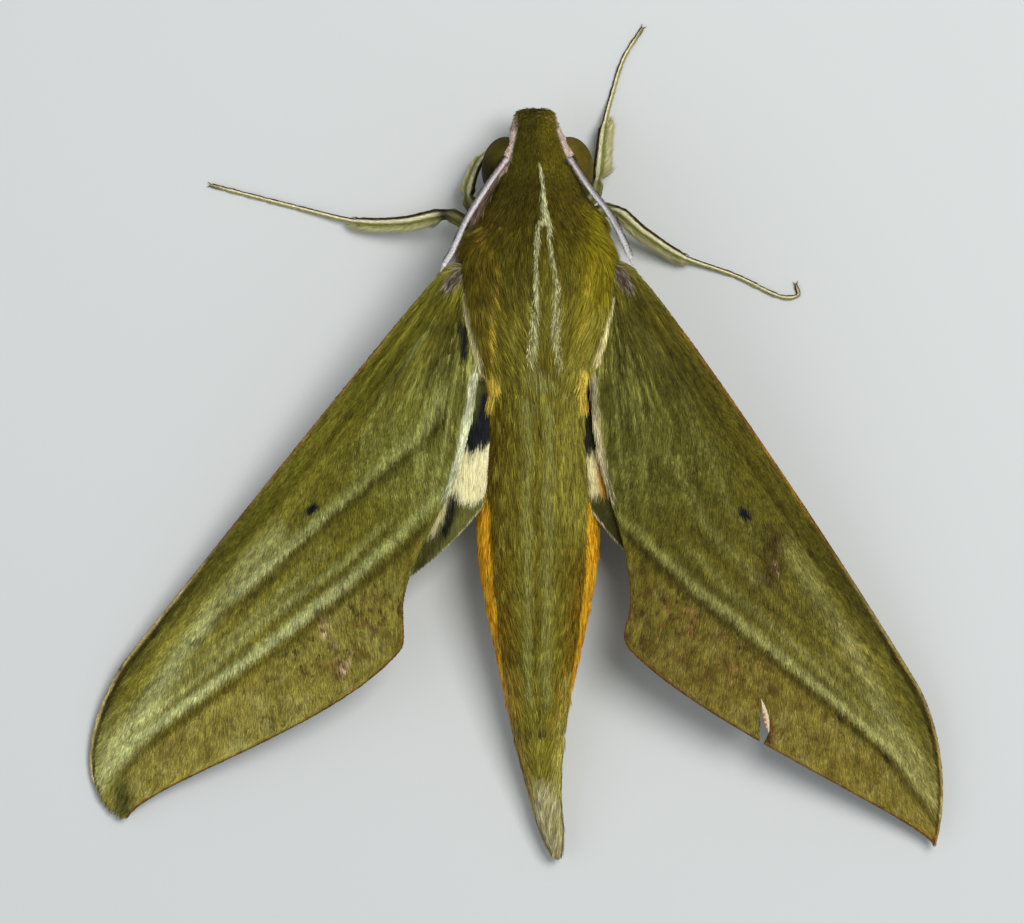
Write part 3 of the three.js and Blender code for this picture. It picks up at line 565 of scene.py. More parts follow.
def build_coat_tree():
    """Blades on a surface: spread by cover, laid along lie, sized by size, and carrying their roots."""
    tree = bpy.data.node_groups.new("lay the coat", "GeometryNodeTree")
    tree.interface.new_socket("Geometry", in_out="INPUT", socket_type="NodeSocketGeometry")
    tree.interface.new_socket("Geometry", in_out="OUTPUT", socket_type="NodeSocketGeometry")
    tree_input(tree, "Blade", "NodeSocketObject")
    tree_input(tree, "Cover", "NodeSocketString", "cover")
    tree_input(tree, "Blades per square metre", "NodeSocketFloat", 1e8)
    tree_input(tree, "Length", "NodeSocketFloat", 0.0005)
    tree_input(tree, "Width", "NodeSocketFloat", 0.0001)
    tree_input(tree, "Lift", "NodeSocketFloat", 0.15)
    tree_input(tree, "Wander", "NodeSocketFloat", 0.1)
    tree_input(tree, "Seed", "NodeSocketInt", 1)
    tree_input(tree, "Patch", "NodeSocketFloat", PATCH)
    tree_input(tree, "Material", "NodeSocketMaterial")
    link = tree.links.new
    given = tree.nodes.new("NodeGroupInput")
    result = tree.nodes.new("NodeGroupOutput")

    def read(name, kind):
        """An attribute that the surface carries."""
        named = tree.nodes.new("GeometryNodeInputNamedAttribute")
        named.data_type = kind
        if isinstance(name, str):
            named.inputs["Name"].default_value = name
        else:
            link(name, named.inputs["Name"])
        return named.outputs["Attribute"]

    def sums(operation, first, second, vector=False):
        """Two values or vectors put together."""
        node = tree.nodes.new("ShaderNodeVectorMath" if vector else "ShaderNodeMath")
        node.operation = operation
        for value, socket in ((first, node.inputs[0]), (second, node.inputs[1])):
            if isinstance(value, (int, float, tuple)):
                socket.default_value = value
            else:
                link(value, socket)
        return node.outputs[0]

    def chance(low, high, salt):
        """A random value for each blade."""
        random = tree.nodes.new("FunctionNodeRandomValue")
        random.data_type = "FLOAT"
        least, most = [socket for socket in random.inputs if socket.enabled and socket.type == "VALUE"]
        least.default_value = low
        most.default_value = high
        seed = tree.nodes.new("FunctionNodeIntegerMath")
        seed.operation = "ADD"
        link(given.outputs["Seed"], seed.inputs[0])
        seed.inputs[1].default_value = salt
        link(seed.outputs[0], random.inputs["Seed"])
        return next(socket for socket in random.outputs if socket.enabled)

    def keep(geometry, name, kind, value, domain="POINT"):
        """Stores a value on the geometry under a name."""
        store = tree.nodes.new("GeometryNodeStoreNamedAttribute")
        store.data_type = kind
        store.domain = domain
        store.inputs["Name"].default_value = name
        link(geometry, store.inputs["Geometry"])
        link(value, store.inputs["Value"])
        return store.outputs["Geometry"]

    spread = tree.nodes.new("GeometryNodeDistributePointsOnFaces")
    link(given.outputs["Geometry"], spread.inputs["Mesh"])
    cover = read(given.outputs["Cover"], "FLOAT")
    link(sums("MULTIPLY", cover, given.outputs["Blades per square metre"]), spread.inputs["Density"])
    link(given.outputs["Seed"], spread.inputs["Seed"])
    aim = tree.nodes.new("FunctionNodeAxesToRotation")
    aim.primary_axis = "Z"
    aim.secondary_axis = "Y"
    link(spread.outputs["Normal"], aim.inputs["Primary Axis"])
    link(read("lie", "FLOAT_VECTOR"), aim.inputs["Secondary Axis"])
    tilt = tree.nodes.new("ShaderNodeCombineXYZ")
    raised = sums("MULTIPLY", given.outputs["Lift"], read("lift", "FLOAT"))
    link(sums("MULTIPLY", raised, chance(0.35, 1.65, 1)), tilt.inputs["X"])
    link(chance(-0.45, 0.45, 2), tilt.inputs["Y"])
    link(sums("MULTIPLY", given.outputs["Wander"], chance(-1.0, 1.0, 3)), tilt.inputs["Z"])
    to_turn = tree.nodes.new("FunctionNodeEulerToRotation")
    link(tilt.outputs["Vector"], to_turn.inputs["Euler"])
    turned = tree.nodes.new("FunctionNodeRotateRotation")
    turned.rotation_space = "LOCAL"
    link(aim.outputs["Rotation"], turned.inputs["Rotation"])
    link(to_turn.outputs["Rotation"], turned.inputs["Rotate By"])
    size = tree.nodes.new("ShaderNodeCombineXYZ")
    long = sums("MULTIPLY", sums("MULTIPLY", given.outputs["Length"], read("size", "FLOAT")),
                chance(0.6, 1.3, 4))
    link(sums("MULTIPLY", given.outputs["Width"], chance(0.7, 1.3, 5)), size.inputs["X"])
    link(long, size.inputs["Y"])
    link(long, size.inputs["Z"])
    place = tree.nodes.new("GeometryNodeInputPosition")
    points = keep(spread.outputs["Points"], "root", "FLOAT_VECTOR", place.outputs["Position"])
    points = keep(points, "tone", "FLOAT", chance(0.0, 1.0, 6))
    blade = tree.nodes.new("GeometryNodeObjectInfo")
    link(given.outputs["Blade"], blade.inputs["Object"])
    copies = tree.nodes.new("GeometryNodeInstanceOnPoints")
    link(points, copies.inputs["Points"])
    link(blade.outputs["Geometry"], copies.inputs["Instance"])
    link(turned.outputs["Rotation"], copies.inputs["Rotation"])
    link(size.outputs["Vector"], copies.inputs["Scale"])
    real = tree.nodes.new("GeometryNodeRealizeInstances")
    link(copies.outputs["Instances"], real.inputs["Geometry"])
    corner = tree.nodes.new("ShaderNodeCombineXYZ")
    for name, socket in (("side", corner.inputs["X"]), ("reach", corner.inputs["Y"])):
        link(sums("MULTIPLY", sums("SUBTRACT", read(name, "FLOAT"), 0.5), given.outputs["Patch"]), socket)
    mapped = sums("ADD", read("OFBake", "FLOAT_VECTOR"), corner.outputs["Vector"], vector=True)
    finished = keep(real.outputs["Geometry"], "OFBake", "FLOAT2", mapped, "CORNER")
    painted = tree.nodes.new("GeometryNodeSetMaterial")
    link(finished, painted.inputs["Geometry"])
    link(given.outputs["Material"], painted.inputs["Material"])
    link(painted.outputs["Geometry"], result.inputs["Geometry"])
    return tree


coat_tree = build_coat_tree()


def carry(mesh, **fields):
    """Stores values or directions for each vertex of a skin, for the coat to read."""
    for name, values in fields.items():
        kind, field = ("FLOAT_VECTOR", "vector") if np.ndim(values) == 2 else ("FLOAT", "value")
        if name in mesh.attributes:
            mesh.attributes.remove(mesh.attributes[name])
        stored = mesh.attributes.new(name, kind, "POINT")
        stored.data.foreach_set(field, np.asarray(values, np.float32).ravel())


def grow_coat(name, skin, blade, material, tint_of, density, length, width, lift, wander, seed):
    """A coat piece over a skin, as one plain mesh: density to the square mm, length and width in mm."""
    grown = skin.copy()
    grown.parent = None
    bpy.context.scene.collection.objects.link(grown)
    modifier = grown.modifiers.new("coat", "NODES")
    modifier.node_group = coat_tree
    sockets = {item.name: item.identifier for item in coat_tree.interface.items_tree}
    for key, value in {
        "Blade": blade,
        "Cover": "cover",
        "Blades per square metre": density / MM ** 2,
        "Length": length * MM,
        "Width": width * MM,
        "Lift": lift,
        "Wander": wander,
        "Seed": seed,
        "Patch": PATCH,
        "Material": material,
    }.items():
        modifier[sockets[key]] = value
    depsgraph = bpy.context.evaluated_depsgraph_get()
    mesh = bpy.data.meshes.new_from_object(grown.evaluated_get(depsgraph), depsgraph=depsgraph)
    grown.modifiers.clear()
    bpy.data.objects.remove(grown)
    mesh.name = name
    roots = np.zeros(len(mesh.vertices) * 3, np.float32)
    mesh.attributes["root"].data.foreach_get("vector", roots)
    set_tint(mesh, tint_of(to_body(roots.reshape(-1, 3))))
    coat = bpy.data.objects.new(name, mesh)
    bpy.context.scene.collection.objects.link(coat)
    return coat


def coat_material(name, roughness, root_shade, tip_shade, spread):
    """Hairs or scales: each of its own tone, from brown to pale, darker at the root than at the tip."""
    material, tree, shader = new_material(name, roughness, specular=0.08)
    tint = add_node(tree, "ShaderNodeAttribute", attribute_name="tint")
    reach = add_node(tree, "ShaderNodeAttribute", attribute_name="reach")
    tone = add_node(tree, "ShaderNodeAttribute", attribute_name="tone")
    length_shade = shade_range(tree, reach.outputs["Fac"], root_shade, tip_shade)
    tones = tree.nodes.new("ShaderNodeValToRGB")
    tones.color_ramp.elements[0].color = (1 - spread, 1 - 1.08 * spread, 1 - 1.05 * spread, 1)
    tones.color_ramp.elements[1].color = (1 + spread, 1 + 1.08 * spread, 1 + 0.9 * spread, 1)
    tree.links.new(tone.outputs["Fac"], tones.inputs["Fac"])
    colour = multiplied(tree, tint.outputs["Color"], length_shade)
    tree.links.new(multiplied(tree, colour, tones.outputs["Color"]), shader.inputs["Base Color"])
    return material


def body_lie(places):
    """Which way the hair lies: back along the body, out over the neck and in over the thorax."""
    x, y, z = places.T
    half, back, belly, bend = along_body(y)
    lean = np.interp(-y, [-8.0, -5.5, -4.0, -2.0, -1.0, 0.5, 3.0, 5.0, 6.2, 8.0, 25.0, 30.0],
                     [0.0, 0.25, 0.55, 0.45, 0.1, -0.25, -0.42, -0.35, -0.05, 0.0, -0.1, -0.08])
    off = (x - bend - 0.3 * window(-7.0, 1.0, y, 2.0)) / half
    turned = lean * np.clip(off * np.where(y > 0.5, 1.2, 2.2), -1, 1)
    wind = 0.16 * mottle(places * [1, 0.5, 1], 1.2, 31) + 0.08 * mottle(places, 0.4, 33)
    tucked = -0.25 * np.sign(z - (back + belly) / 2) * (np.abs(off) > 0.7)
    return np.stack([turned + wind, -np.ones_like(x), tucked], -1)


fur = coat_material("olive fur", 0.6, 0.8, 1.2, 0.48)
body_places = to_body(mesh_places(body_skin.data))
body_y = body_places[:, 1]
_, body_back, body_belly, _ = along_body(body_y)
body_high = (body_places[:, 2] - (body_back + body_belly) / 2) / ((body_back - body_belly) / 2)
upper = ramp(-0.35, 0.0, body_high)
carry(
    body_skin.data,
    lie=body_lie(body_places),
    lift=1 - 0.5 * ramp(3.0, 5.0, body_y),
    size=(1 - 0.45 * ramp(1.5, 6.0, body_y)) * (0.12 + 0.88 * ramp(-33.6, -32.0, body_y)),
)
for name, low, high, density, length, width, lift, seed in [
    ("fur_head", 4.2, 9.4, 620, 0.5, 0.045, 0.12, 11),
    ("fur_shoulders", -1.2, 4.2, 280, 0.9, 0.052, 0.12, 12),
    ("fur_thorax", -6.3, -1.2, 270, 1.0, 0.052, 0.12, 15),
    ("fur_waist", -15.5, -6.3, 250, 0.8, 0.052, 0.1, 13),
    ("fur_abdomen", -26.2, -15.5, 250, 0.8, 0.052, 0.08, 16),
    ("fur_tail", -33.6, -26.2, 460, 0.95, 0.048, 0.05, 14),
]:
    carry(body_skin.data, cover=window(low, high, body_y, 0.02) * (0.3 + 0.7 * upper))
    coat = grow_coat(name, body_skin, leaf_blade, fur, body_tint, density, length, width, lift,
                     wander=0.12, seed=seed)
    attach(coat, "root")

# ---- The looser hair of the body ----
# Over the flat fur stand tufts of longer hair: gold ones at the waist, tan ones between the
# neck and the wing, a cream fringe on each lappet's edge, and stiff bristles on the palps.
# They are laid one by one too, as bent locks that lift off the body and cross each other.
LOCK_WIDTH = 0.045
out_x = np.abs(body_places[:, 0])
loose_lie = np.stack([0.1 * np.sign(body_places[:, 0]), -np.ones(len(out_x)), 0 * out_x], -1)
flank_line = stroke(body_places[:, 0], body_y,
                    [(-2.4, 5.2), (-3.05, 4.1), (-3.95, 2.9), (-4.5, 1.9), (-4.7, 1.1)], 0.45, 0.2)
flank_line = flank_line + stroke(body_places[:, 0], body_y, [(3.1, 4.1), (4.1, 2.9), (4.4, 1.7)], 0.15, 0.1)
waist_line = stroke(body_places[:, 0], body_y, [(-2.8, -5.8), (-2.75, -6.9)], 0.7, 0.2)
waist_line = waist_line + stroke(body_places[:, 0], body_y, [(2.62, -5.5), (2.52, -6.9)], 0.4, 0.2)
dorsal_line = back_lines(body_places[:, 0], body_y, 0.0) * ramp(0.3, 0.5, body_high)
# where each kind grows, its locks to the square mm, length, lift, wander and seed
loose_spots = {
    "waist_tufts": (waist_line, 420, 1.0, 0.2, 0.25, 17),
    "shoulder_tufts": (flank_line, 380, 1.0, 0.2, 0.2, 18),
    "lappet_fringe": (lappet_lines(body_places[:, 0], body_y, 0.3), 560, 0.7, 0.2, 0.12, 20),
    "line_hair": (dorsal_line, 800, 0.6, 0.24, 0.06, 22),
    "snout_bristles": (window(8.2, 9.1, body_y, 0.15), 300, 0.34, 0.25, 1.2, 19),
}


def line_tint(places):
    """The pale green of the line down the back."""
    return np.tile(DORSAL_PALE, (len(places), 1)) * (1 + 0.2 * mottle(places, 0.15, 27))[:, None]


def bristle_tint(places):
    """The tan of the palps' bristles."""
    return over(body_tint(places), paint(186, 166, 108), ramp(-0.2, 0.5, mottle(places, 0.08, 26)) * 0.85)


for name, (spots, density, length, lift, wander, seed) in loose_spots.items():
    carry(
        body_skin.data,
        cover=spots * upper,
        lie=loose_lie,
        size=np.ones(len(body_y)),
        lift=np.ones(len(body_y)),
    )
    tint_of = {"snout_bristles": bristle_tint, "line_hair": line_tint}.get(name, body_tint)
    tufts = grow_coat(name, body_skin, lock_blade, fur, tint_of, density, length, LOCK_WIDTH, lift, wander,
                      seed)
    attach(tufts, "root")

# ---- The eyes ----
# Each compound eye is a smooth dome of tiny lenses that bulges from the side of the head.
# It is one hard clear shell, dark olive inside, sunk in the head to more than half its depth.
EYE_CENTRE = (1.75, EYE_AHEAD, 4.2)
EYE_HALF = (1.38, 1.86, 1.62)
LEFT_EYE_OUT = 0.07    # the left eye stands further out
LENS = 0.03


def eye_rings(side):
    """Rings of an egg-shaped eye, whose poles point to the sides."""
    polar = np.linspace(0.03, math.pi - 0.03, 60)[:, None]
    turn = np.linspace(0, 2 * math.pi, 84, endpoint=False)[None, :]
    x = np.cos(polar) * np.ones_like(turn)
    y = np.sin(polar) * np.cos(turn)
    z = np.sin(polar) * np.sin(turn)
    unit = np.stack([side * x, y, z], -1)
    fuller = LEFT_EYE_OUT if side < 0 else 0.0
    centre = np.array([side * (EYE_CENTRE[0] + fuller), EYE_CENTRE[1], EYE_CENTRE[2]])
    return centre + unit * np.array(EYE_HALF)


def eye_material(name, deep, rim):
    """A glossy dome: dark inside, browner in soft bars, with its lenses as fine pits."""
    material, tree, shader = new_material(name, 0.5, specular=0.0)
    shader.inputs["Coat Weight"].default_value = 0.1
    shader.inputs["Coat Roughness"].default_value = 0.16
    place = tree.nodes.new("ShaderNodeTexCoord")
    bars = add_node(tree, "ShaderNodeTexNoise", Scale=1 / (1.3 * MM), Detail=2.0)
    tree.links.new(place.outputs["Object"], bars.inputs["Vector"])
    colours = tree.nodes.new("ShaderNodeValToRGB")
    colours.color_ramp.elements[0].position = 0.36
    colours.color_ramp.elements[0].color = (*paint(*deep), 1)
    colours.color_ramp.elements[1].position = 0.66
    colours.color_ramp.elements[1].color = (*paint(*rim), 1)
    tree.links.new(bars.outputs["Fac"], colours.inputs["Fac"])
    cells = add_node(tree, "ShaderNodeTexVoronoi", feature="F1", Scale=1 / (LENS * MM), Randomness=0.35)
    tree.links.new(place.outputs["Object"], cells.inputs["Vector"])
    shade = shade_range(tree, cells.outputs["Distance"], 1.15, 0.75)
    tree.links.new(multiplied(tree, colours.outputs["Color"], shade), shader.inputs["Base Color"])
    pits = add_node(tree, "ShaderNodeBump", Strength=0.35, Distance=LENS * MM, invert=True)
    tree.links.new(cells.outputs["Distance"], pits.inputs["Height"])
    tree.links.new(pits.outputs["Normal"], shader.inputs["Normal"])
    return material


# painted light and shade: the right eye is given lighter colours than the left, the right side facing the
# light and the left in shade
for side, name, deep, rim in [
    (-1, "eye_left", (42, 35, 11), (74, 68, 22)),
    (1, "eye_right", (70, 62, 16), (110, 94, 34)),
]:
    eye = lofted(f"{name}_dome", to_row(eye_rings(side)))
    eye.data.materials.append(eye_material(f"{name} lenses", deep, rim))
    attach(eye, "root")
    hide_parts(name)

# ---- The antennae ----
# Each antenna is a shaft of about eighty short rings on a thicker first one, white scales
# on its upper side and bare brown below, and its thin end hooks over. It is set in a socket
# above the eye and lies back along the shoulder.
ANTENNAE = {
    "antenna_left": [(-1.75, 6.3, 6.35), (-2.72, 4.94, 6.75), (-4.08, 2.75, 7.0), (-4.85, 1.0, 7.55),
                     (-5.5, -0.05, 7.95)],
    "antenna_right": [(1.77, 6.3, 6.35), (2.89, 4.6, 6.75), (3.95, 3.2, 7.0), (4.7, 1.75, 7.5),
                      (5.3, 0.3, 8.0)],
}
ANTENNA_HALF = 0.168
ANTENNA_RING = 0.1
ANTENNA_HOOK = 0.3
ANTENNA_STEPS = 340
ROUTE_STEPS = 80       # steps between two stops of a route


def route(stops, count):
    """Places at even steps on a smooth line through the stops, and how far along it each stop is."""
    stops = np.asarray(stops, float)
    before, after = 2 * stops[0] - stops[1], 2 * stops[-1] - stops[-2]
    knots = np.concatenate([[before], stops, [after]])
    gaps = np.sqrt(np.linalg.norm(np.diff(knots, axis=0), axis=1))
    pieces = []
    t = np.linspace(0, 1, ROUTE_STEPS, endpoint=False)[:, None]
    for i in range(1, len(knots) - 2):
        p0, p1, p2, p3 = knots[i - 1:i + 3]
        d0, d1, d2 = gaps[i - 1:i + 2]
        leave = ((p1 - p0) / d0 - (p2 - p0) / (d0 + d1) + (p2 - p1) / d1) * d1
        arrive = ((p2 - p1) / d1 - (p3 - p1) / (d1 + d2) + (p3 - p2) / d2) * d1
        pieces.append(
            (2 * t ** 3 - 3 * t ** 2 + 1) * p1 + (t ** 3 - 2 * t ** 2 + t) * leave
            + (3 * t ** 2 - 2 * t ** 3) * p2 + (t ** 3 - t ** 2) * arrive
        )
    line = np.concatenate([*pieces, stops[-1:]])
    run = np.concatenate([[0], np.cumsum(np.linalg.norm(np.diff(line, axis=0), axis=1))])
    even = np.linspace(0, run[-1], count)
    places = np.stack([np.interp(even, run, line[:, axis]) for axis in range(3)], -1)
    return places, run[::ROUTE_STEPS], run[-1]


def tube_rings(places, wide, tall, sides):
    """Oval rings round a line: wide to its sides and tall above and below."""
    ahead = np.gradient(places, axis=0)
    ahead /= np.linalg.norm(ahead, axis=1)[:, None]
    sideways = np.cross(ahead, [0, 0, 1])
    sideways /= np.linalg.norm(sideways, axis=1)[:, None]
    upwards = np.cross(sideways, ahead)
    turn = np.linspace(0, 2 * math.pi, sides, endpoint=False)[None, :, None]
    return (places[:, None, :] + np.cos(turn) * sideways[:, None, :] * np.asarray(wide)[:, None, None]
            + np.sin(turn) * upwards[:, None, :] * np.asarray(tall)[:, None, None])


AT_ONCE = 20000        # places compared at a time, to spare memory


def nearest_on(places, line):
    """For each place, the index of the closest point of a line."""
    best = np.zeros(len(places), int)
    for start in range(0, len(places), AT_ONCE):
        part = places[start:start + AT_ONCE]
        gaps = ((part[:, None, :] - line[None, :, :]) ** 2).sum(-1)
        best[start:start + AT_ONCE] = gaps.argmin(1)
    return best


antenna_skin = skin_material("antenna shaft", 0.06, 0.5, 0.3)
antenna_scales = coat_material("antenna scales", 0.55, 0.9, 1.08, 0.1)
for name, stops in ANTENNAE.items():
    side = np.sign(stops[0][0])
    line, _, span = route(stops, ANTENNA_STEPS)
    run = np.linspace(0, span, ANTENNA_STEPS)
    hook = ramp(span - 0.5, span, run)[:, None]
    line = line + hook * np.array([-side * 0.05, 0.0, -ANTENNA_HOOK])
    taper = 1 - 0.86 * ramp(span - 0.75, span, run)
    first_ring = 0.5 * (1 - ramp(0.3, 0.4, run))
    notched = 1 - 0.14 * np.abs(np.cos(math.pi * run / ANTENNA_RING)) ** 6
    half = ANTENNA_HALF * taper * (notched + first_ring)
    shaft = lofted(f"{name}_shaft", to_row(tube_rings(line, half, half * 0.85, 16)))

    def antenna_tint(places):
        """Pinkish white above with dots between the rings, a dark line on the outer side, painted shadow
        along the inner edge, brown below.
        """
        at = nearest_on(places, line)
        off = places - line[at]
        outer = off[:, 0] * side * 0.78 + off[:, 1] * 0.62
        upper = off[:, 2] / ANTENNA_HALF
        dots = np.abs(np.cos(math.pi * run[at] / (2 * ANTENNA_RING))) ** 8
        tint = np.tile(paint(240, 236, 238), (len(places), 1))
        tint = over(tint, paint(226, 198, 190), 0.5 * (1 - ramp(0.6, 1.8, run[at])))
        tint = over(tint, paint(112, 98, 98), 0.7 * dots * ramp(-0.08, 0.02, outer))
        groove = np.exp(-((outer - 0.03) / 0.03) ** 2) * window(1.2, 4.6, run[at], 0.8)
        tint = over(tint, paint(70, 56, 54),
                    0.75 * groove * (0.4 + 0.6 * ramp(-0.2, 0.3, mottle(places, 0.2, 33))))
        grey_side = ramp(0.02, 0.06, outer) * (1 - 0.6 * ramp(0.5 * span, 0.8 * span, run[at]))
        tint = over(tint, paint(124, 116, 116), 0.8 * grey_side)
        tint = over(tint, paint(52, 44, 40), ramp(0.11, 0.14, outer))
        # painted shadow: darker brown along the inner edge, beside the body
        tint = over(tint, paint(88, 70, 60), 0.8 * ramp(0.12, 0.15, -outer))
        return over(tint, paint(96, 70, 44), ramp(-0.1, -0.5, upper))

    shaft_places = to_body(mesh_places(shaft.data))
    along = np.gradient(line, axis=0)[nearest_on(shaft_places, line)]
    set_tint(shaft.data, antenna_tint(shaft_places))
    shaft.data.materials.append(antenna_skin)
    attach(shaft, "root")
    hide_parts(name)
    carry(
        shaft.data,
        lie=along / np.linalg.norm(along, axis=1)[:, None],
        lift=np.ones(len(along)),
        size=np.ones(len(along)),
        cover=ramp(-0.08, 0.0, (shaft_places - line[nearest_on(shaft_places, line)])[:, 2]),
    )
    scales = grow_coat(f"{name}_scales", shaft, leaf_blade, antenna_scales, antenna_tint, density=700,
                       length=0.15, width=0.05, lift=0.08, wander=0.1, seed=21)
    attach(scales, "root")

# ---- The legs ----
# A leg is a chain of hard tubes: a thick thigh, a shin with a flat fringe of scales, and
# five thin foot joints that end in a pair of claws. They hinge at the knee and ankle, and
# the foot joints lie on the ground. The shins end in spurs.
LEGS = {
    "leg_fore_right": [(1.3, 3.2, 1.7), (3.05, 4.3, 2.3), (3.35, 5.2, 2.2), (3.75, 8.3, 1.0),
                       (4.25, 10.3, 0.14),
                       (4.9, 12.3, 0.14), (5.95, 14.0, 0.14)],
    "leg_fore_left": [(-1.3, 3.2, 1.7), (-3.5, 3.6, 2.5), (-3.95, 4.25, 2.4), (-3.3, 6.45, 1.1),
                      (-2.1, 7.4, 0.14),
                      (-1.0, 7.9, 0.14), (-0.3, 8.3, 0.14)],
    "leg_mid_right": [(1.5, 0.6, 1.6), (3.3, 3.3, 3.0), (4.3, 3.5, 3.1), (6.0, 2.3, 2.1), (8.15, 1.0, 0.8),
                      (11.26, -0.1, 0.14), (14.1, -1.35, 0.14), (14.85, -1.2, 0.14), (14.75, -0.65, 0.14)],
    "leg_mid_left": [(-1.5, 0.6, 1.6), (-4.5, 3.0, 3.1), (-5.2, 3.25, 3.0), (-7.7, 2.9, 1.9),
                     (-10.2, 2.95, 0.8),
                     (-14.2, 3.9, 0.14), (-18.65, 5.05, 0.14)],
    "leg_hind_right": [(1.5, -3.6, 1.6), (4.2, -4.9, 3.6), (5.0, -5.8, 3.5), (6.3, -9.0, 2.0),
                       (7.6, -12.4, 0.7),
                       (8.6, -15.4, 0.14), (9.4, -18.0, 0.14)],
    "leg_hind_left": [(-1.5, -3.6, 1.6), (-4.3, -4.9, 3.6), (-5.2, -5.7, 3.5), (-6.9, -8.6, 2.0),
                      (-8.6, -11.8, 0.7),
                      (-10.0, -14.6, 0.14), (-11.2, -17.0, 0.14)],
}
KNEE_STOP = 2
ANKLE_STOP = 4
FORE_ANKLE_STOP = 3
THIGH_HALF = 0.36
JOINT_HALF = 0.2
ANKLE_HALF = 0.17
SHIN_HALF = 0.31
FOOT_HALF = 0.13
THORN_SIDES = 8
LEG_STEPS = 260
FOOT_JOINTS = (0.42, 0.63, 0.78, 0.9)


def leg_widths(run, knee, ankle, span):
    """Half the leg's thickness along it: thigh, shin and foot joints, each pinched at its ends."""
    thigh = window(0.4, knee - 0.25, run, 0.3)
    shin = window(knee + 0.2, ankle - 0.15, run, 0.2)
    foot = (run - ankle) / (span - ankle)
    pinch = sum(np.exp(-((foot - joint) / 0.018) ** 2) for joint in FOOT_JOINTS)
    flare = sum(np.exp(-((foot - joint + 0.045) / 0.025) ** 2) for joint in FOOT_JOINTS)
    base = FOOT_HALF * (1 - 0.2 * np.clip(foot, 0, 1)) * (1 - 0.14 * pinch + 0.1 * flare)
    rounded_end = 1 - 0.5 * ramp(span - 0.12, span, run)
    upper = np.maximum(JOINT_HALF, THIGH_HALF * thigh)
    lower = np.maximum(ANKLE_HALF, SHIN_HALF * shin * (1 - 0.25 * ramp(knee, ankle, run)))
    width = np.where(run < knee, upper, np.where(run < ankle, lower, base))
    softened = np.convolve(np.pad(width, 4, mode="edge"), np.ones(9) / 9, mode="valid")
    return np.where(run > ankle + 0.15, width, softened) * rounded_end


def thorn(places, halves):
    """The rings of a small spike along a few places."""
    return tube_rings(np.asarray(places, float), halves, halves, THORN_SIDES)


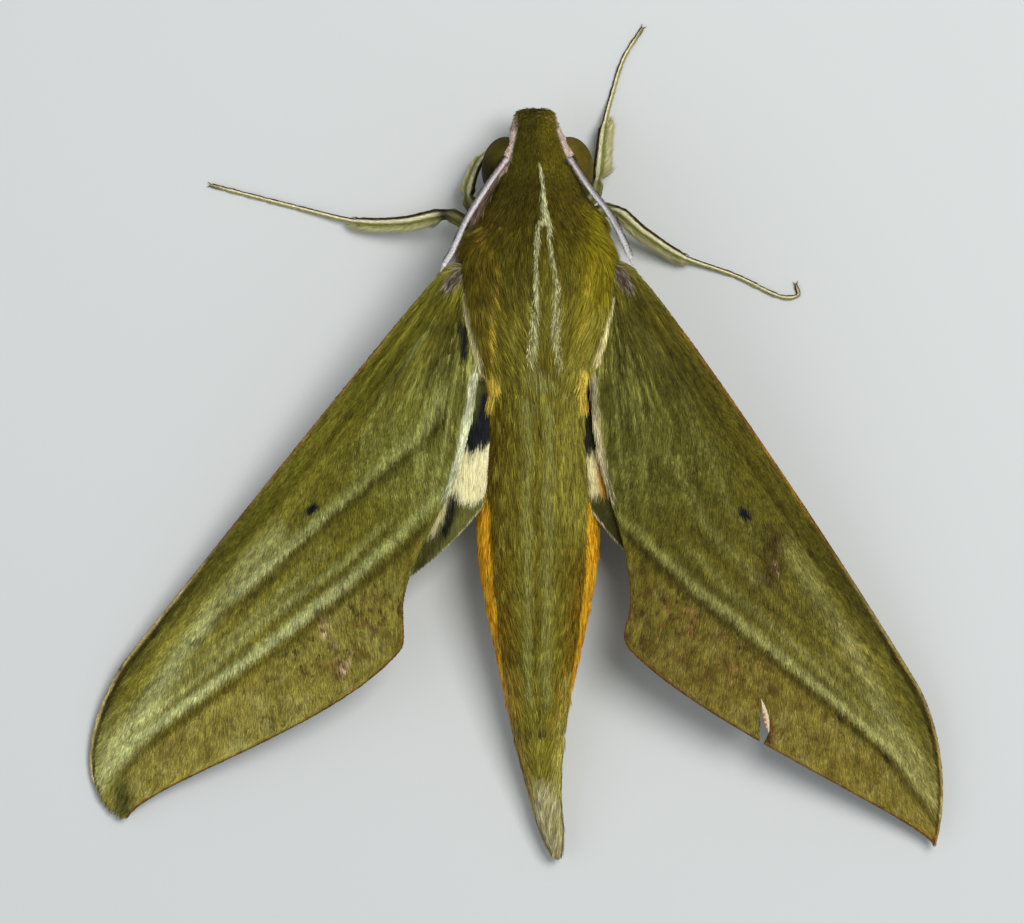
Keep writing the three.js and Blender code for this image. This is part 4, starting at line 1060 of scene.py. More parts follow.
leg_skin = skin_material("leg shell", 0.07, 0.45, 0.35)
leg_scales = coat_material("leg scales", 0.6, 0.85, 1.12, 0.22)
claw_material = skin_material("claws and spurs", 0.05, 0.35, 0.2)
for number, (name, stops) in enumerate(LEGS.items()):
    line, stop_runs, span = route(stops, LEG_STEPS)
    run = np.linspace(0, span, LEG_STEPS)
    knee = stop_runs[KNEE_STOP]
    ankle = stop_runs[FORE_ANKLE_STOP if "fore" in name else ANKLE_STOP]
    half = leg_widths(run, knee, ankle, span)
    line[:, 2] = np.maximum(line[:, 2], 1.05 * half + 0.03)
    leg = lofted(f"{name}_shell", to_row(tube_rings(line, half, half * 1.05, 20)))
    flow = np.gradient(line, axis=0)
    flow /= np.linalg.norm(flow, axis=1)[:, None]
    outwards = np.cross(flow, [0, 0, 1])
    outwards /= np.linalg.norm(outwards, axis=1)[:, None]
    # the front edge of each leg is the dark one, and its fringe is behind
    outwards *= np.sign(outwards[len(run) // 3, 1] - 0.6 * outwards[len(run) // 3, 0] * np.sign(stops[0][0]))

    def leg_tint(places):
        """Green with a dark front edge, a cream line behind it and a pale fringe, and the knee dark."""
        at = nearest_on(places, line)
        off = ((places - line[at]) * outwards[at]).sum(1) / half[at]
        grain = mottle(places, 0.15, 40 + number)
        foot = ramp(ankle - 0.2, ankle + 0.4, run[at])
        tint = np.tile(paint(124, 126, 48), (len(places), 1))
        tint = over(tint, paint(98, 98, 38), 0.55 * ramp(0.0, 0.8, grain))
        tint = over(tint, paint(222, 216, 168), 0.85 * ramp(-0.5, -0.85, off))
        tint = over(tint, paint(176, 166, 104), 0.7 * foot)
        tint = over(tint, paint(250, 244, 206), window(-0.2 * foot + 0.05, 0.4, off, 0.14))
        tint = over(tint, paint(60, 50, 12), ramp(0.42, 0.6, off + 0.12 * foot))
        tint = over(tint, paint(96, 78, 40), 0.6 * ramp(span - 1.3, span, run[at]))
        thigh = 1 - ramp(knee - 0.4, knee, run[at])
        tint = over(tint, paint(104, 104, 44), 0.7 * thigh)
        dark_knee = 0.9 if name == "leg_mid_left" else 0.3
        return over(tint, paint(30, 28, 14), dark_knee * np.exp(-((run[at] - knee + 0.1) / 0.45) ** 2))

    leg_places = to_body(mesh_places(leg.data))
    at = nearest_on(leg_places, line)
    set_tint(leg.data, leg_tint(leg_places))
    leg.data.materials.append(leg_skin)
    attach(leg, "root")
    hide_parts(name)
    off = ((leg_places - line[at]) * outwards[at]).sum(1) / half[at]
    shin = window(knee + 0.15, ankle - 0.05, run[at], 0.25)
    fringe = shin * ramp(-0.5, -0.9, off) * {"leg_fore_left": 0.3, "leg_fore_right": 1.3}.get(name, 1.0)
    near_ground = ramp(0.5, 0.16, leg_places[:, 2])
    near_ground = near_ground * ramp(0.0, -0.3, (leg_places - line[at])[:, 2] / half[at])
    carry(
        leg.data,
        lie=flow[at] - outwards[at] * (0.6 * fringe)[:, None],
        lift=1 + 1.6 * fringe,
        size=(1 + 1.3 * fringe) * (1 - 0.5 * ramp(ankle - 0.1, ankle + 0.3, run[at])),
        cover=(0.7 + 1.8 * fringe) * (1 - near_ground),
    )
    scales = grow_coat(f"{name}_scales", leg, leaf_blade, leg_scales, leg_tint, density=620, length=0.34,
                       width=0.045, lift=0.1, wander=0.08, seed=41 + number)
    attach(scales, "root")
    # two claws on the last joint, and spurs at the ankle and, on a hind leg, on the shin
    spikes = []
    end, ahead = line[-1], flow[-1]
    for way in (-1, 1):
        hook = [end - ahead * 0.05, end + ahead * 0.14 + way * outwards[-1] * 0.1 + (0, 0, 0.05),
                end + ahead * 0.24 + way * outwards[-1] * 0.15 - (0, 0, 0.06)]
        curve, _, _ = route(hook, 12)
        curve[:, 2] = np.maximum(curve[:, 2], 0.04)
        spikes.append(thorn(curve, 0.045 * (1 - np.linspace(0, 0.85, 12))))
    spur_places = [ankle - 0.15] if "fore" not in name else []
    spur_places += [knee + 0.62 * (ankle - knee)] if "hind" in name else []
    for spur_at in spur_places:
        i = int(np.searchsorted(run, spur_at))
        for way in (-1, 1):
            start = line[i] + way * outwards[i] * half[i] * 0.6
            tip = start + flow[i] * (0.95 if way < 0 else 0.6) + way * outwards[i] * 0.1 - (0, 0, 0.1)
            curve, _, _ = route([start, (start + tip) / 2 + way * outwards[i] * 0.06, tip], 12)
            curve[:, 2] = np.maximum(curve[:, 2], 0.06)
            spikes.append(thorn(curve, 0.06 * (1 - np.linspace(0, 0.8, 12))))
    parts = [lofted(f"{name}_spike_{i}", to_row(spike)) for i, spike in enumerate(spikes)]
    joined = bmesh.new()
    for part in parts:
        joined.from_mesh(part.data)
        bpy.data.objects.remove(part)
    claw_mesh = bpy.data.meshes.new(f"{name}_claws")
    joined.to_mesh(claw_mesh)
    joined.free()
    claw_mesh.shade_smooth()
    claws = bpy.data.objects.new(f"{name}_claws", claw_mesh)
    bpy.context.scene.collection.objects.link(claws)
    set_tint(claw_mesh, np.tile(paint(96, 72, 34), (len(claw_mesh.vertices), 1)))
    claw_mesh.materials.append(claw_material)
    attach(claws, "root")

# ---- The forewings ----
# A forewing is a stiff membrane of two thin layers over raised tubes, its veins, hinged
# under the shoulder's lappet. Scales cover both faces like shingles, with long hairs over
# its root. They carry the moth's pattern: a dark front edge and pale stripes to the tip.
WING_ARCH = 0.5
WING_TOP = 0.2         # the skin's upper face over the wing's middle plane
WING_SKIN = 0.14
HINGE = (5.1, -0.2, 8.4)
WINGS = {
    "right": {"side": 1, "sweep": 61.5, "fall": 0.23, "rise": 0.07, "tuck": 0.5},
    "left": {"side": -1, "sweep": 56.9, "fall": 0.24, "rise": 0.07, "tuck": 0.0},
}
# The edges as cubic curves through the wing's landmarks, (along, across) in mm.
FOREWINGS = {
    "right": {
        "leading": [[(-1.3, -1.0), (-0.9, 0.05), (-0.4, 0.3), (0.4, 0.43)],
                    [(0.4, 0.43), (5.2, 1.55), (21.0, 3.1), (29.0, 3.45)],
                    [(29.0, 3.45), (32.2, 3.35), (35.4, 1.9), (37.3, 0.0)]],
        "trailing": [[(-1.3, -1.9), (3.7, -4.9), (7.0, -6.5), (10.0, -7.0)],
                     [(10.0, -7.0), (12.5, -7.45), (15.4, -8.1), (16.95, -9.45)],
                     [(16.95, -9.45), (17.4, -10.1), (18.0, -10.4), (18.7, -10.15)],
                     [(18.7, -10.15), (24.6, -8.5), (35.0, -0.5), (37.3, -0.1)]],
    },
    "left": {
        "leading": [[(-1.3, -1.0), (-0.9, 0.0), (-0.4, 0.25), (0.4, 0.36)],
                    [(0.4, 0.36), (5.2, 1.12), (20.0, 2.6), (29.0, 3.55)],
                    [(29.0, 3.55), (33.0, 3.5), (36.2, 2.2), (36.4, -0.2)]],
        "trailing": [[(-1.3, -1.9), (3.7, -4.9), (7.0, -6.3), (10.0, -6.9)],
                     [(10.0, -6.9), (13.0, -7.2), (16.0, -7.4), (17.3, -8.4)],
                     [(17.3, -8.4), (18.1, -8.9), (18.7, -9.6), (19.4, -9.45)],
                     [(19.4, -9.45), (25.4, -8.6), (34.0, -1.4), (36.4, -1.55)]],
    },
}


def wing_frame(wing):
    """A wing's directions along, across and up, and the place of its hinge."""
    side, fall, rise = wing["side"], wing["fall"], wing["rise"]
    sweep = math.radians(wing["sweep"])
    along = np.array([side * math.cos(sweep), -math.sin(sweep),
                      -(fall * math.cos(sweep) + rise * math.sin(sweep))])
    up = np.array([side * fall, -rise, 1.0])
    along /= np.linalg.norm(along)
    up /= np.linalg.norm(up)
    across = np.cross(up, along) * side
    hinge = np.array([side * HINGE[0], HINGE[1], HINGE[2] - fall * HINGE[0] + rise * HINGE[1]])
    return along, across, up, hinge


def edge_of(curves):
    """The edge's place across the wing at any place along it."""
    share = np.linspace(0, 1, 60)[:, None]
    points = []
    for start, leave, arrive, end in np.array(curves, float):
        points.append(
            (1 - share) ** 3 * start + 3 * (1 - share) ** 2 * share * leave
            + 3 * (1 - share) * share ** 2 * arrive + share ** 3 * end
        )
    line = np.concatenate(points)
    return lambda place: np.interp(place, line[:, 0], line[:, 1])


def wing_rings(wing, outline, lift, tuck, relief, steps, rows):
    """Lens-shaped rings of a wing from its root to its tip, over the upper face and back below."""
    along, across, up, hinge = wing_frame(wing)
    leading, trailing = edge_of(outline["leading"]), edge_of(outline["trailing"])
    start, end = outline["leading"][0][0][0], outline["leading"][-1][3][0]
    near_tip = 1.2
    bend = np.sin(np.linspace(0, math.pi / 2, 26))[1:]
    place = np.concatenate([np.linspace(start, end - near_tip, steps - 25), end - near_tip + near_tip * bend])
    place[-1] = end - 0.004
    share = (place - start) / (end - start)
    forwards = 0.5 - 0.5 * np.cos(np.linspace(0, math.pi, rows))
    forwards = 0.6 * forwards + 0.4 * np.linspace(0, 1, rows)
    forwards = np.concatenate([forwards, forwards[-2:0:-1]])
    upper = np.concatenate([np.ones(rows), -np.ones(rows - 2)])
    low, high = trailing(place)[:, None] + tuck, leading(place)[:, None] + tuck
    high = np.maximum(high, low + 0.03)
    breadth = low + (high - low) * forwards[None, :]
    arch = WING_ARCH * np.sin(math.pi * share)[:, None] * np.sin(math.pi * forwards)[None, :]
    rim = np.minimum(1, np.sqrt(np.clip(np.sin(math.pi * forwards), 0, 1) * 3.0))[None, :]
    ends = np.sqrt(ramp(0, 0.5, end - place + 0.02))[:, None]
    thick = WING_SKIN * (0.3 + 0.7 * rim * ends)
    thick = np.where((forwards[None, :] == 0) | (forwards[None, :] == 1), 0.04, thick)
    bumps = relief(np.broadcast_to(place[:, None], breadth.shape), breadth - tuck)
    height = lift - WING_SKIN / 2 + arch + bumps * rim + upper[None, :] * thick / 2
    return (hinge + along * place[:, None, None] + across * breadth[:, :, None] + up * height[:, :, None])


def wing_places(places, wing):
    """Places in mm as (along, across) of a wing, and the height over its plane."""
    along, across, up, hinge = wing_frame(wing)
    off = places - hinge
    return off @ along, off @ across, off @ up


# The veins run from the root to the margin: where each starts, bends and ends, (along, across).
VEINS = [
    [(0.0, -0.2), (12.0, 0.9), (26.0, 2.2), (34.5, 1.6)],
    [(0.0, -0.4), (14.5, -0.6), (24.0, 0.9), (35.6, 0.5)],
    [(14.5, -0.8), (19.0, -0.9), (26.0, -0.4), (34.0, -1.5)],
    [(14.5, -1.1), (19.0, -1.9), (25.0, -2.2), (31.0, -3.8)],
    [(0.0, -1.0), (10.0, -2.6), (18.0, -4.0), (27.0, -6.4)],
    [(6.0, -2.2), (11.0, -4.0), (17.0, -6.0), (23.0, -8.6)],
    [(0.0, -1.4), (6.0, -4.2), (12.0, -6.2), (17.8, -9.9)],
]


def vein_relief(place, breadth):
    """The veins as low ridges, with shallow pleats between them."""
    shape = place.shape
    place, breadth = place.ravel(), breadth.ravel()
    gap = np.full(place.shape, np.inf)
    for stops in VEINS:
        line, _, _ = route([(a, b, 0) for a, b in stops], 16)
        gap = np.minimum(gap, off_line(place, breadth, line[:, :2]))
    ridge = 0.075 * np.exp(-(gap / 0.13) ** 2) - 0.05 * ramp(0.2, 1.2, gap)
    roots = 1 - 0.6 * ramp(30.0, 36.0, place)
    return (ridge * roots).reshape(shape)


# The stripes of each forewing: pale or dark, how strong, half how wide, and where they run,
# (along, across). The last pale one and the dark one behind it part the outer margin off.
STRIPES = {
    "right": [
        ("pale", 0.35, 0.3, [(1.8, -0.9), (6.5, -0.6), (9.8, -0.7), (14.0, -1.35), (16.5, -0.9)]),
        ("dark", 0.55, 0.16, [(1.5, -1.4), (9.5, -1.6), (12.5, -2.5)]),
        ("pale", 0.5, 0.3, [(4.5, -2.5), (8.5, -3.5), (10.0, -2.9), (14.5, -3.0), (19.0, -1.5)]),
        ("dark", 0.5, 0.2, [(4.0, -1.8), (5.5, -2.1), (9.5, -4.2), (13.0, -5.2)]),
        ("dark", 0.6, 0.3, [(14.0, -3.8), (18.0, -2.75), (25.0, -0.3), (32.0, 1.4)]),
        ("pale", 0.45, 0.2, [(14.5, -4.5), (18.0, -3.6), (24.0, -1.35), (27.0, -0.4), (34.0, 1.5)]),
        ("dark", 0.5, 0.2, [(15.0, -5.1), (18.0, -4.2), (30.0, 0.3)]),
        ("pale", 0.5, 0.5, [(17.0, 0.5), (21.5, 0.8), (29.0, 1.1), (32.5, 1.0)]),
        ("pale", 0.35, 0.2, [(24.0, -0.6), (30.0, 1.2), (33.0, 1.7)]),
        ("pale", 0.85, 0.27,
         [(10.0, -7.6), (13.0, -6.4), (17.0, -5.15), (27.2, -1.05), (31.2, 0.4), (36.8, 1.3)]),
        ("dark", 0.95, 0.26,
         [(10.0, -8.1), (13.0, -6.95), (17.0, -5.75), (27.2, -1.55), (31.2, -0.1), (36.8, 0.8)]),
    ],
    "left": [
        ("pale", 0.55, 0.18, [(2.0, -0.9), (7.0, -0.75), (9.5, -0.9)]),
        ("dark", 0.6, 0.2, [(1.5, -1.3), (4.0, -1.5), (14.0, -0.9)]),
        ("pale", 0.85, 0.32, [(5.0, -3.2), (7.3, -3.6), (9.0, -3.35), (13.0, -2.25), (22.0, 0.2)]),
        ("dark", 0.85, 0.3, [(6.0, -4.3), (8.5, -4.1), (11.5, -3.1), (16.5, -1.67), (21.1, -0.6),
                             (24.0, 0.4), (31.0, 1.6)]),
        ("pale", 0.35, 0.2, [(16.5, -2.8), (21.3, -1.7), (28.0, 0.5), (34.0, 1.4)]),
        ("dark", 0.4, 0.22, [(14.8, -3.9), (19.8, -2.4), (28.0, 0.1)]),
        ("pale", 0.45, 0.22, [(13.0, -4.9), (16.2, -4.1), (21.5, -2.2), (31.0, 0.7)]),
        ("dark", 0.5, 0.24, [(12.8, -5.3), (15.7, -4.75), (21.5, -2.8), (30.5, 0.1)]),
        ("pale", 0.6, 0.55, [(17.0, 0.1), (23.0, 0.75), (34.0, 1.2)]),
        ("pale", 0.95, 0.3, [(9.0, -6.6), (13.0, -5.85), (17.3, -4.8), (22.0, -3.3), (32.3, 0.55),
                             (35.0, 1.0), (36.6, 0.8)]),
        ("dark", 0.9, 0.28, [(12.0, -6.8), (15.7, -5.9), (22.0, -3.95), (32.3, -0.1), (34.5, 0.3)]),
    ],
}


def forewing_tint(wing_name, wing, outline):
    """The colour of a forewing's scales at places in mm."""
    leading, trailing = edge_of(outline["leading"]), edge_of(outline["trailing"])
    right = wing_name == "right"
    *_, parting = STRIPES[wing_name]
    parting_places = np.array(parting[3])

    def tint_of(places):
        a, b, height = wing_places(places, wing)
        flat = np.stack([a, b, np.zeros_like(a)], -1)
        from_front, from_back = leading(a) - b, b - trailing(a)
        slant = np.radians(-30) * ramp(1.2, 2.6, from_front)
        turned = np.stack([a * np.cos(slant) + b * np.sin(slant), b * np.cos(slant) - a * np.sin(slant),
                           0 * a], -1)
        rays = np.stack([np.hypot(a + 3, b) * 0.05, 9 * np.arctan2(b + 0.3, a + 3), 0 * a], -1)
        near_root = 1 - ramp(6.0, 10.0, a)
        grain = mottle(turned * [0.3, 1, 1], 0.1, 51)
        fibres = mottle(turned * [0.09, 1, 1], 0.07, 63) * (1 - near_root)
        fibres = fibres + mottle(rays, 0.09, 64) * near_root
        cloud = mottle(flat * [0.4, 1, 1], 0.8, 52)
        ragged = 0.05 * mottle(flat, 0.5, 53) + 0.05 * mottle(turned * [0.3, 1, 1], 0.12, 54)
        # painted sheen: where a colour has one value for each wing, the left wing's value is mostly lighter
        # and greener than the right's, painted sheen on the left wing
        tint = np.tile(paint(103, 96, 33) if right else paint(114, 108, 38), (len(a), 1))
        green = paint(112, 110, 48) if right else paint(134, 134, 66)
        tint = over(tint, green,
                    0.75 * ramp(1.9, 3.0, from_front) * ramp(2.0, 5.0, a) * (1 - ramp(9.0, 14.0, a)))
        # the outer margin is browner, in soft blots
        parting_line = np.interp(a, parting_places[:, 0], parting_places[:, 1])
        outer = ramp(0.1, 0.5, parting_line - b) * ramp(10.0, 13.5, a)
        tint = over(tint, paint(116, 104, 40) if right else paint(128, 119, 50), outer)
        tint = over(tint, paint(132, 122, 62) if right else paint(146, 140, 76),
                    0.6 * outer * ramp(0.0, 0.7, mottle(flat, 0.9, 67)))
        tint = over(tint, paint(96, 82, 26) if right else paint(110, 98, 36),
                    0.6 * outer * ramp(0.0, 0.7, mottle(flat, 0.7, 68)))
        pale = paint(158, 156, 92) if right else paint(174, 178, 118)
        dark = paint(66, 56, 10) if right else paint(78, 68, 14)
        for shade, strength, half, stops in STRIPES[wing_name]:
            stop_a, stop_b = np.array(stops).T
            off = b - np.interp(a, stop_a, stop_b) + ragged
            along = window(stop_a[0] + 0.5, stop_a[-1] - 0.5, a, 1.2)
            broken = 1 if strength > 0.8 else 0.7 + 0.3 * cloud
            tint = over(tint, pale if shade == "pale" else dark,
                        strength * np.exp(-(off / half) ** 2) * along * broken)
        # fine streaks run beside the main stripe
        above = b - parting_line
        combed = mottle(np.stack([a * 0.07, above, 0 * a], -1), 0.2, 70) * window(1.1, 4.6, above, 0.5)
        tint = tint * (1 + 0.34 * combed * ramp(12.0, 19.0, a))[:, None]
        tip = ramp(30.0, 35.0, a) * ramp(-0.3, 0.3, above)
        tint = over(tint, paint(150, 140, 76) if right else paint(166, 164, 102), 0.45 * tip)
        margin = outer * ramp(24.0, 30.0, a)
        tint = tint * (1 + (0.2 if right else 0.06) * margin)[:, None] * (1 + margin[:, None] * [0, 0, 0.1])
        # the dark band behind the front edge, a lighter line behind that, and the thin tan edge
        band = window(0.28, 1.25, from_front + ragged, 0.3) * (1 - ramp(19.0, 27.0, a)) * ramp(-0.5, 1.0, a)
        tint = over(tint, paint(76, 69, 12) if right else paint(92, 88, 22), 0.8 * band)
        thin = window(0.28, 0.5, from_front + ragged * 0.3, 0.08) * ramp(20.0, 26.0, a)
        tint = over(tint, paint(62, 52, 14), 0.85 * thin)
        lighter = np.exp(-((from_front - 2.6 + 0.7 * ramp(8.0, 12.0, a) + ragged) / 0.34) ** 2)
        lighter = lighter * (1 - ramp(14.0, 22.0, a)) * ramp(1.0, 4.0, a)
        tint = over(tint, paint(118, 110, 36) if right else paint(146, 138, 56), 0.55 * lighter)
        rim = 1 - ramp(0.12, 0.24, from_front)
        tint = over(tint, paint(128, 92, 28) if right else paint(120, 98, 44), 0.85 * rim * ramp(2.0, 6.0, a))
        tint = over(tint, paint(168, 148, 88) if right else paint(196, 180, 122),
                    0.9 * rim * ramp(18.0, 25.0, a))
        # the shaded root, its paler hairs, and the pale hair of the inner edge
        shaded = stroke(a, b, [(1.0, -1.6), (4.0, -2.6)], 1.0, 0.9)
        tint = over(tint, paint(70, 64, 18), 0.7 * shaded)
        hairs = ramp(0.1, 0.6, fibres) * (1 - ramp(9.0, 14.0, a)) * ramp(1.8, 3.0, from_front)
        hairs = hairs + 0.6 * ramp(-0.3, 0.4, fibres) * window(3.8, 9.5, a, 1.0) * ramp(2.6, 1.2, from_back)
        tint = over(tint, paint(152, 152, 88) if right else paint(170, 172, 112),
                    np.clip(0.55 * hairs, 0, 0.8))
        tint = tint * (1 + 0.24 * near_root * mottle(rays * [0.5, 1, 1], 0.28, 71))[:, None]
        # the field behind the front edge is darker to the root and lighter to the margin
        darkest, lightest = (0.64, 1.25) if right else (0.74, 1.4)
        field = darkest + (lightest - darkest) * ramp(8.0, 28.0, a) + 0.4 * (1 - ramp(0.0, 5.0, a))
        front = 1.2 - 0.42 * window(19.0, 31.0, a, 4.0)
        behind = ramp(0.7, 1.4, from_front)
        tint = tint * (front + (field - front) * behind)[:, None]
        tint[:, 2] *= 1.05 - 0.33 * ramp(21.0, 12.0, a) * behind
        shade_line = [(1.5, -0.9), (6.5, -1.3)] if right else [(2.0, -1.6), (5.5, -2.5)]
        tint = over(tint, paint(56, 50, 12),
                    0.65 * stroke(a, b, shade_line, 0.5, 0.5) * ramp(-0.6, 0.3, fibres))
        collar = stroke(a, b, [(-0.8, -0.7), (0.1, -0.5)], 0.4, 0.3)
        tint = over(tint, paint(84, 68, 64), 0.85 * collar)
        tint = over(tint, paint(196, 184, 168), 0.6 * collar * ramp(0.1, 0.4, fibres))
        broad = (0.34 if right else 0.42) + 0.26 * window(4.0, 8.0, a, 1.5)
        inner = (1 - ramp(0.5 * broad, broad, from_back + ragged)) * window(3.4, 9.8, a, 0.8)
        inner_share = (0.5 if right else 0.62) + 0.38 * ramp(-0.3, 0.4, fibres)
        tint = over(tint, paint(190, 176, 138) if right else paint(214, 216, 180), inner_share * inner)
        # the spot at the end of the cell
        spot = [(14.65, -0.84), (15.0, -0.7)] if right else [(14.95, -0.92), (15.3, -0.8)]
        tint = over(tint, paint(18, 22, 30), stroke(a + 0.5 * ragged, b - 0.5 * ragged, spot, 0.46, 0.06))
        if right:
            smoke = stroke(a + 4 * ragged, b + 3 * ragged, [(16.9, 0.1), (18.2, -0.5), (18.6, -1.4)], 0.6,
                           0.9)
            tint = over(tint, paint(58, 42, 14), 0.85 * smoke)
            scratch = stroke(a, b + ragged * 0.4,
                             [(22.0, 0.95), (25.0, 1.2), (28.0, 0.65), (30.8, -0.1), (33.2, -1.2)], 0.05,
                             0.05)
            tint = over(tint, paint(196, 178, 122), 0.65 * scratch * ramp(-0.3, 0.3, mottle(flat, 0.3, 61)))
            bare = (
                stroke(a, b, [(18.0, -0.5), (18.7, -0.75)], 0.14, 0.1)
                + stroke(a, b, [(18.3, -2.1), (18.7, -2.3)], 0.12, 0.1)
            )
            tint = over(tint, paint(190, 160, 112), 0.7 * bare * ramp(-0.4, 0.2, grain))
            nicks = (
                stroke(a, b, [(31.0, -0.2), (31.5, -0.15)], 0.2, 0.1)
                + stroke(a, b, [(27.6, -1.45), (28.0, -1.4)], 0.2, 0.1)
            )
            tint = over(tint, paint(40, 30, 10), 0.85 * nicks)
            blots = ramp(0.35, 0.65, mottle(flat, 0.42, 57)) * outer * window(15.5, 27.0, a, 1.5)
            tint = over(tint, paint(84, 52, 18), 0.5 * blots)
            pinker = ramp(0.3, 0.7, mottle(flat, 0.6, 69)) * outer * window(17.0, 24.0, a, 1.0)
            tint = over(tint, paint(158, 116, 72), 0.5 * pinker * ramp(-0.2, 0.3, grain))
            tint = over(tint, paint(132, 84, 28), 0.5 * ramp(36.0, 37.0, a))
            notch_rim = stroke(a, b, [(24.9, -5.1), (25.9, -5.0), (26.8, -5.2), (27.6, -6.6)], 0.14, 0.12)
            tint = over(tint, paint(126, 78, 34), 0.8 * notch_rim)
        else:
            mark = stroke(a, b, [(1.4, -2.2), (2.8, -3.2)], 0.42, 0.12)
            tint = over(tint, paint(16, 18, 16), 0.95 * mark)
            scar = stroke(a + ragged * 3, b, [(20.2, -4.9), (20.8, -5.3), (21.2, -6.2), (21.7, -7.1)],
                          0.16, 0.16)
            scar = np.maximum(scar, stroke(a, b, [(20.9, -6.9), (22.2, -7.3)], 0.4, 0.2))
            tint = over(tint, paint(226, 186, 152), 0.9 * scar * ramp(-0.1, 0.25, mottle(flat, 0.17, 62)))
            tint = over(tint, paint(44, 32, 14), 0.9 * scar * ramp(0.3, 0.5, mottle(flat, 0.14, 65)))
            blots = (
                ramp(0.35, 0.65, mottle(flat, 0.4, 58))
                * stroke(a, b, [(18.0, -7.6), (24.0, -6.8)], 2.0, 1.6)
            )
            tint = over(tint, paint(100, 60, 30), 0.6 * blots)
            tint = over(tint, paint(64, 66, 24), 0.8 * stroke(a, b, [(35.0, -0.4), (35.9, -1.1)], 0.8, 0.5))
        specks = ramp(0.42, 0.56, mottle(flat, 0.13, 59)) * outer * ramp(13.0, 17.0, a)
        specks = specks * ramp(-0.5, 0.4, mottle(flat, 1.4, 66)) * (1 - 0.7 * ramp(27.0, 32.0, a))
        tint = over(tint, paint(36, 26, 10), 0.85 * specks)
        edge = (1 - ramp(0.08, 0.15, from_back)) * ramp(15.0, 17.0, a)
        tint = over(tint, paint(112, 70, 30), 0.85 * edge)
        tint = tint * (1 + 0.08 * cloud + 0.28 * grain + (0.4 + 0.12 * near_root) * fibres)[:, None]
        # the underside is plainer, ochre and green, and paler to the inner edge
        below = over(np.tile(paint(132, 116, 58), (len(a), 1)), paint(168, 160, 104),
                     ramp(2.0, 7.0, from_front) * 0.7)
        below = over(below, paint(112, 92, 44), 0.5 * (1 - ramp(1.5, 4.0, from_back)) * ramp(14.0, 20.0, a))
        below = below * (1 + 0.12 * cloud + 0.1 * grain)[:, None]
        return np.clip(over(tint, below, ramp(-0.02, 0.0, -(height - underside_top(a, b)))), 0.002, 1)

    def underside_top(a, b):
        """The height over the wing's plane that parts its upper face from its lower one."""
        start, end = outline["leading"][0][0][0], outline["leading"][-1][3][0]
        share = np.clip((a - start) / (end - start), 0, 1)
        forwards = np.clip((b - trailing(a)) / np.maximum(leading(a) - trailing(a), 0.05), 0, 1)
        arch = WING_ARCH * np.sin(math.pi * share) * np.sin(math.pi * forwards)
        return (
            WING_TOP - WING_SKIN / 2 + arch + vein_relief(a, b)
            * np.minimum(1, np.sqrt(np.sin(math.pi * forwards) * 3.0))
        )

    return tint_of


def wing_lie(places, wing, outline):
    """The scales lie from the root to the margins, turned back across the wing behind its front edge."""
    along, across, up, hinge = wing_frame(wing)
    a, b, _ = wing_places(places, wing)
    from_front = edge_of(outline["leading"])(a) - b
    fan = np.arctan2(b + 0.2, a + 4.0)
    slant = np.radians(-27) * ramp(0.5, 4.0, from_front) * (0.35 + 0.65 * ramp(2.0, 12.0, a))
    slant = slant * (1 - 0.35 * ramp(22.0, 34.0, a))
    turn = 0.75 * fan + slant + 0.1 * mottle(np.stack([a, b, 0 * a], -1), 0.9, 71)
    return np.cos(turn)[:, None] * along + np.sin(turn)[:, None] * across


def cut_notch(skin):
    """Takes the torn notch out of the right forewing's outer edge."""
    notch = [(24.8, -5.05), (25.8, -5.08), (26.6, -5.2), (27.0, -5.8), (27.5, -6.7), (27.0, -6.9),
             (26.7, -6.15)]
    along, across, up, hinge = wing_frame(WINGS["right"])
    flat = [hinge + along * a + across * b for a, b in notch]
    count = len(flat)
    places = [to_row(point + up * height) for height in (-2.5, 2.5) for point in flat]
    faces = [tuple(range(count))[::-1], tuple(range(count, 2 * count))]
    faces += [(i, (i + 1) % count, (i + 1) % count + count, i + count) for i in range(count)]
    mesh = bpy.data.meshes.new("notch")
    mesh.from_pydata([tuple(place) for place in places], [], faces)
    block_shape = bmesh.new()
    block_shape.from_mesh(mesh)
    bmesh.ops.recalc_face_normals(block_shape, faces=block_shape.faces)
    block_shape.to_mesh(mesh)
    block_shape.free()
    block = bpy.data.objects.new("notch", mesh)
    bpy.context.scene.collection.objects.link(block)
    cut = skin.modifiers.new("notch", "BOOLEAN")
    cut.operation = "DIFFERENCE"
    cut.solver = "EXACT"
    cut.object = block
    depsgraph = bpy.context.evaluated_depsgraph_get()
    cut_mesh = bpy.data.meshes.new_from_object(skin.evaluated_get(depsgraph), depsgraph=depsgraph)
    skin.modifiers.clear()
    skin.data = cut_mesh
    bpy.data.objects.remove(block)


FLAP_START = 24.75
FLAP_LENGTH = 1.9
FLAP_RIDGES = 21


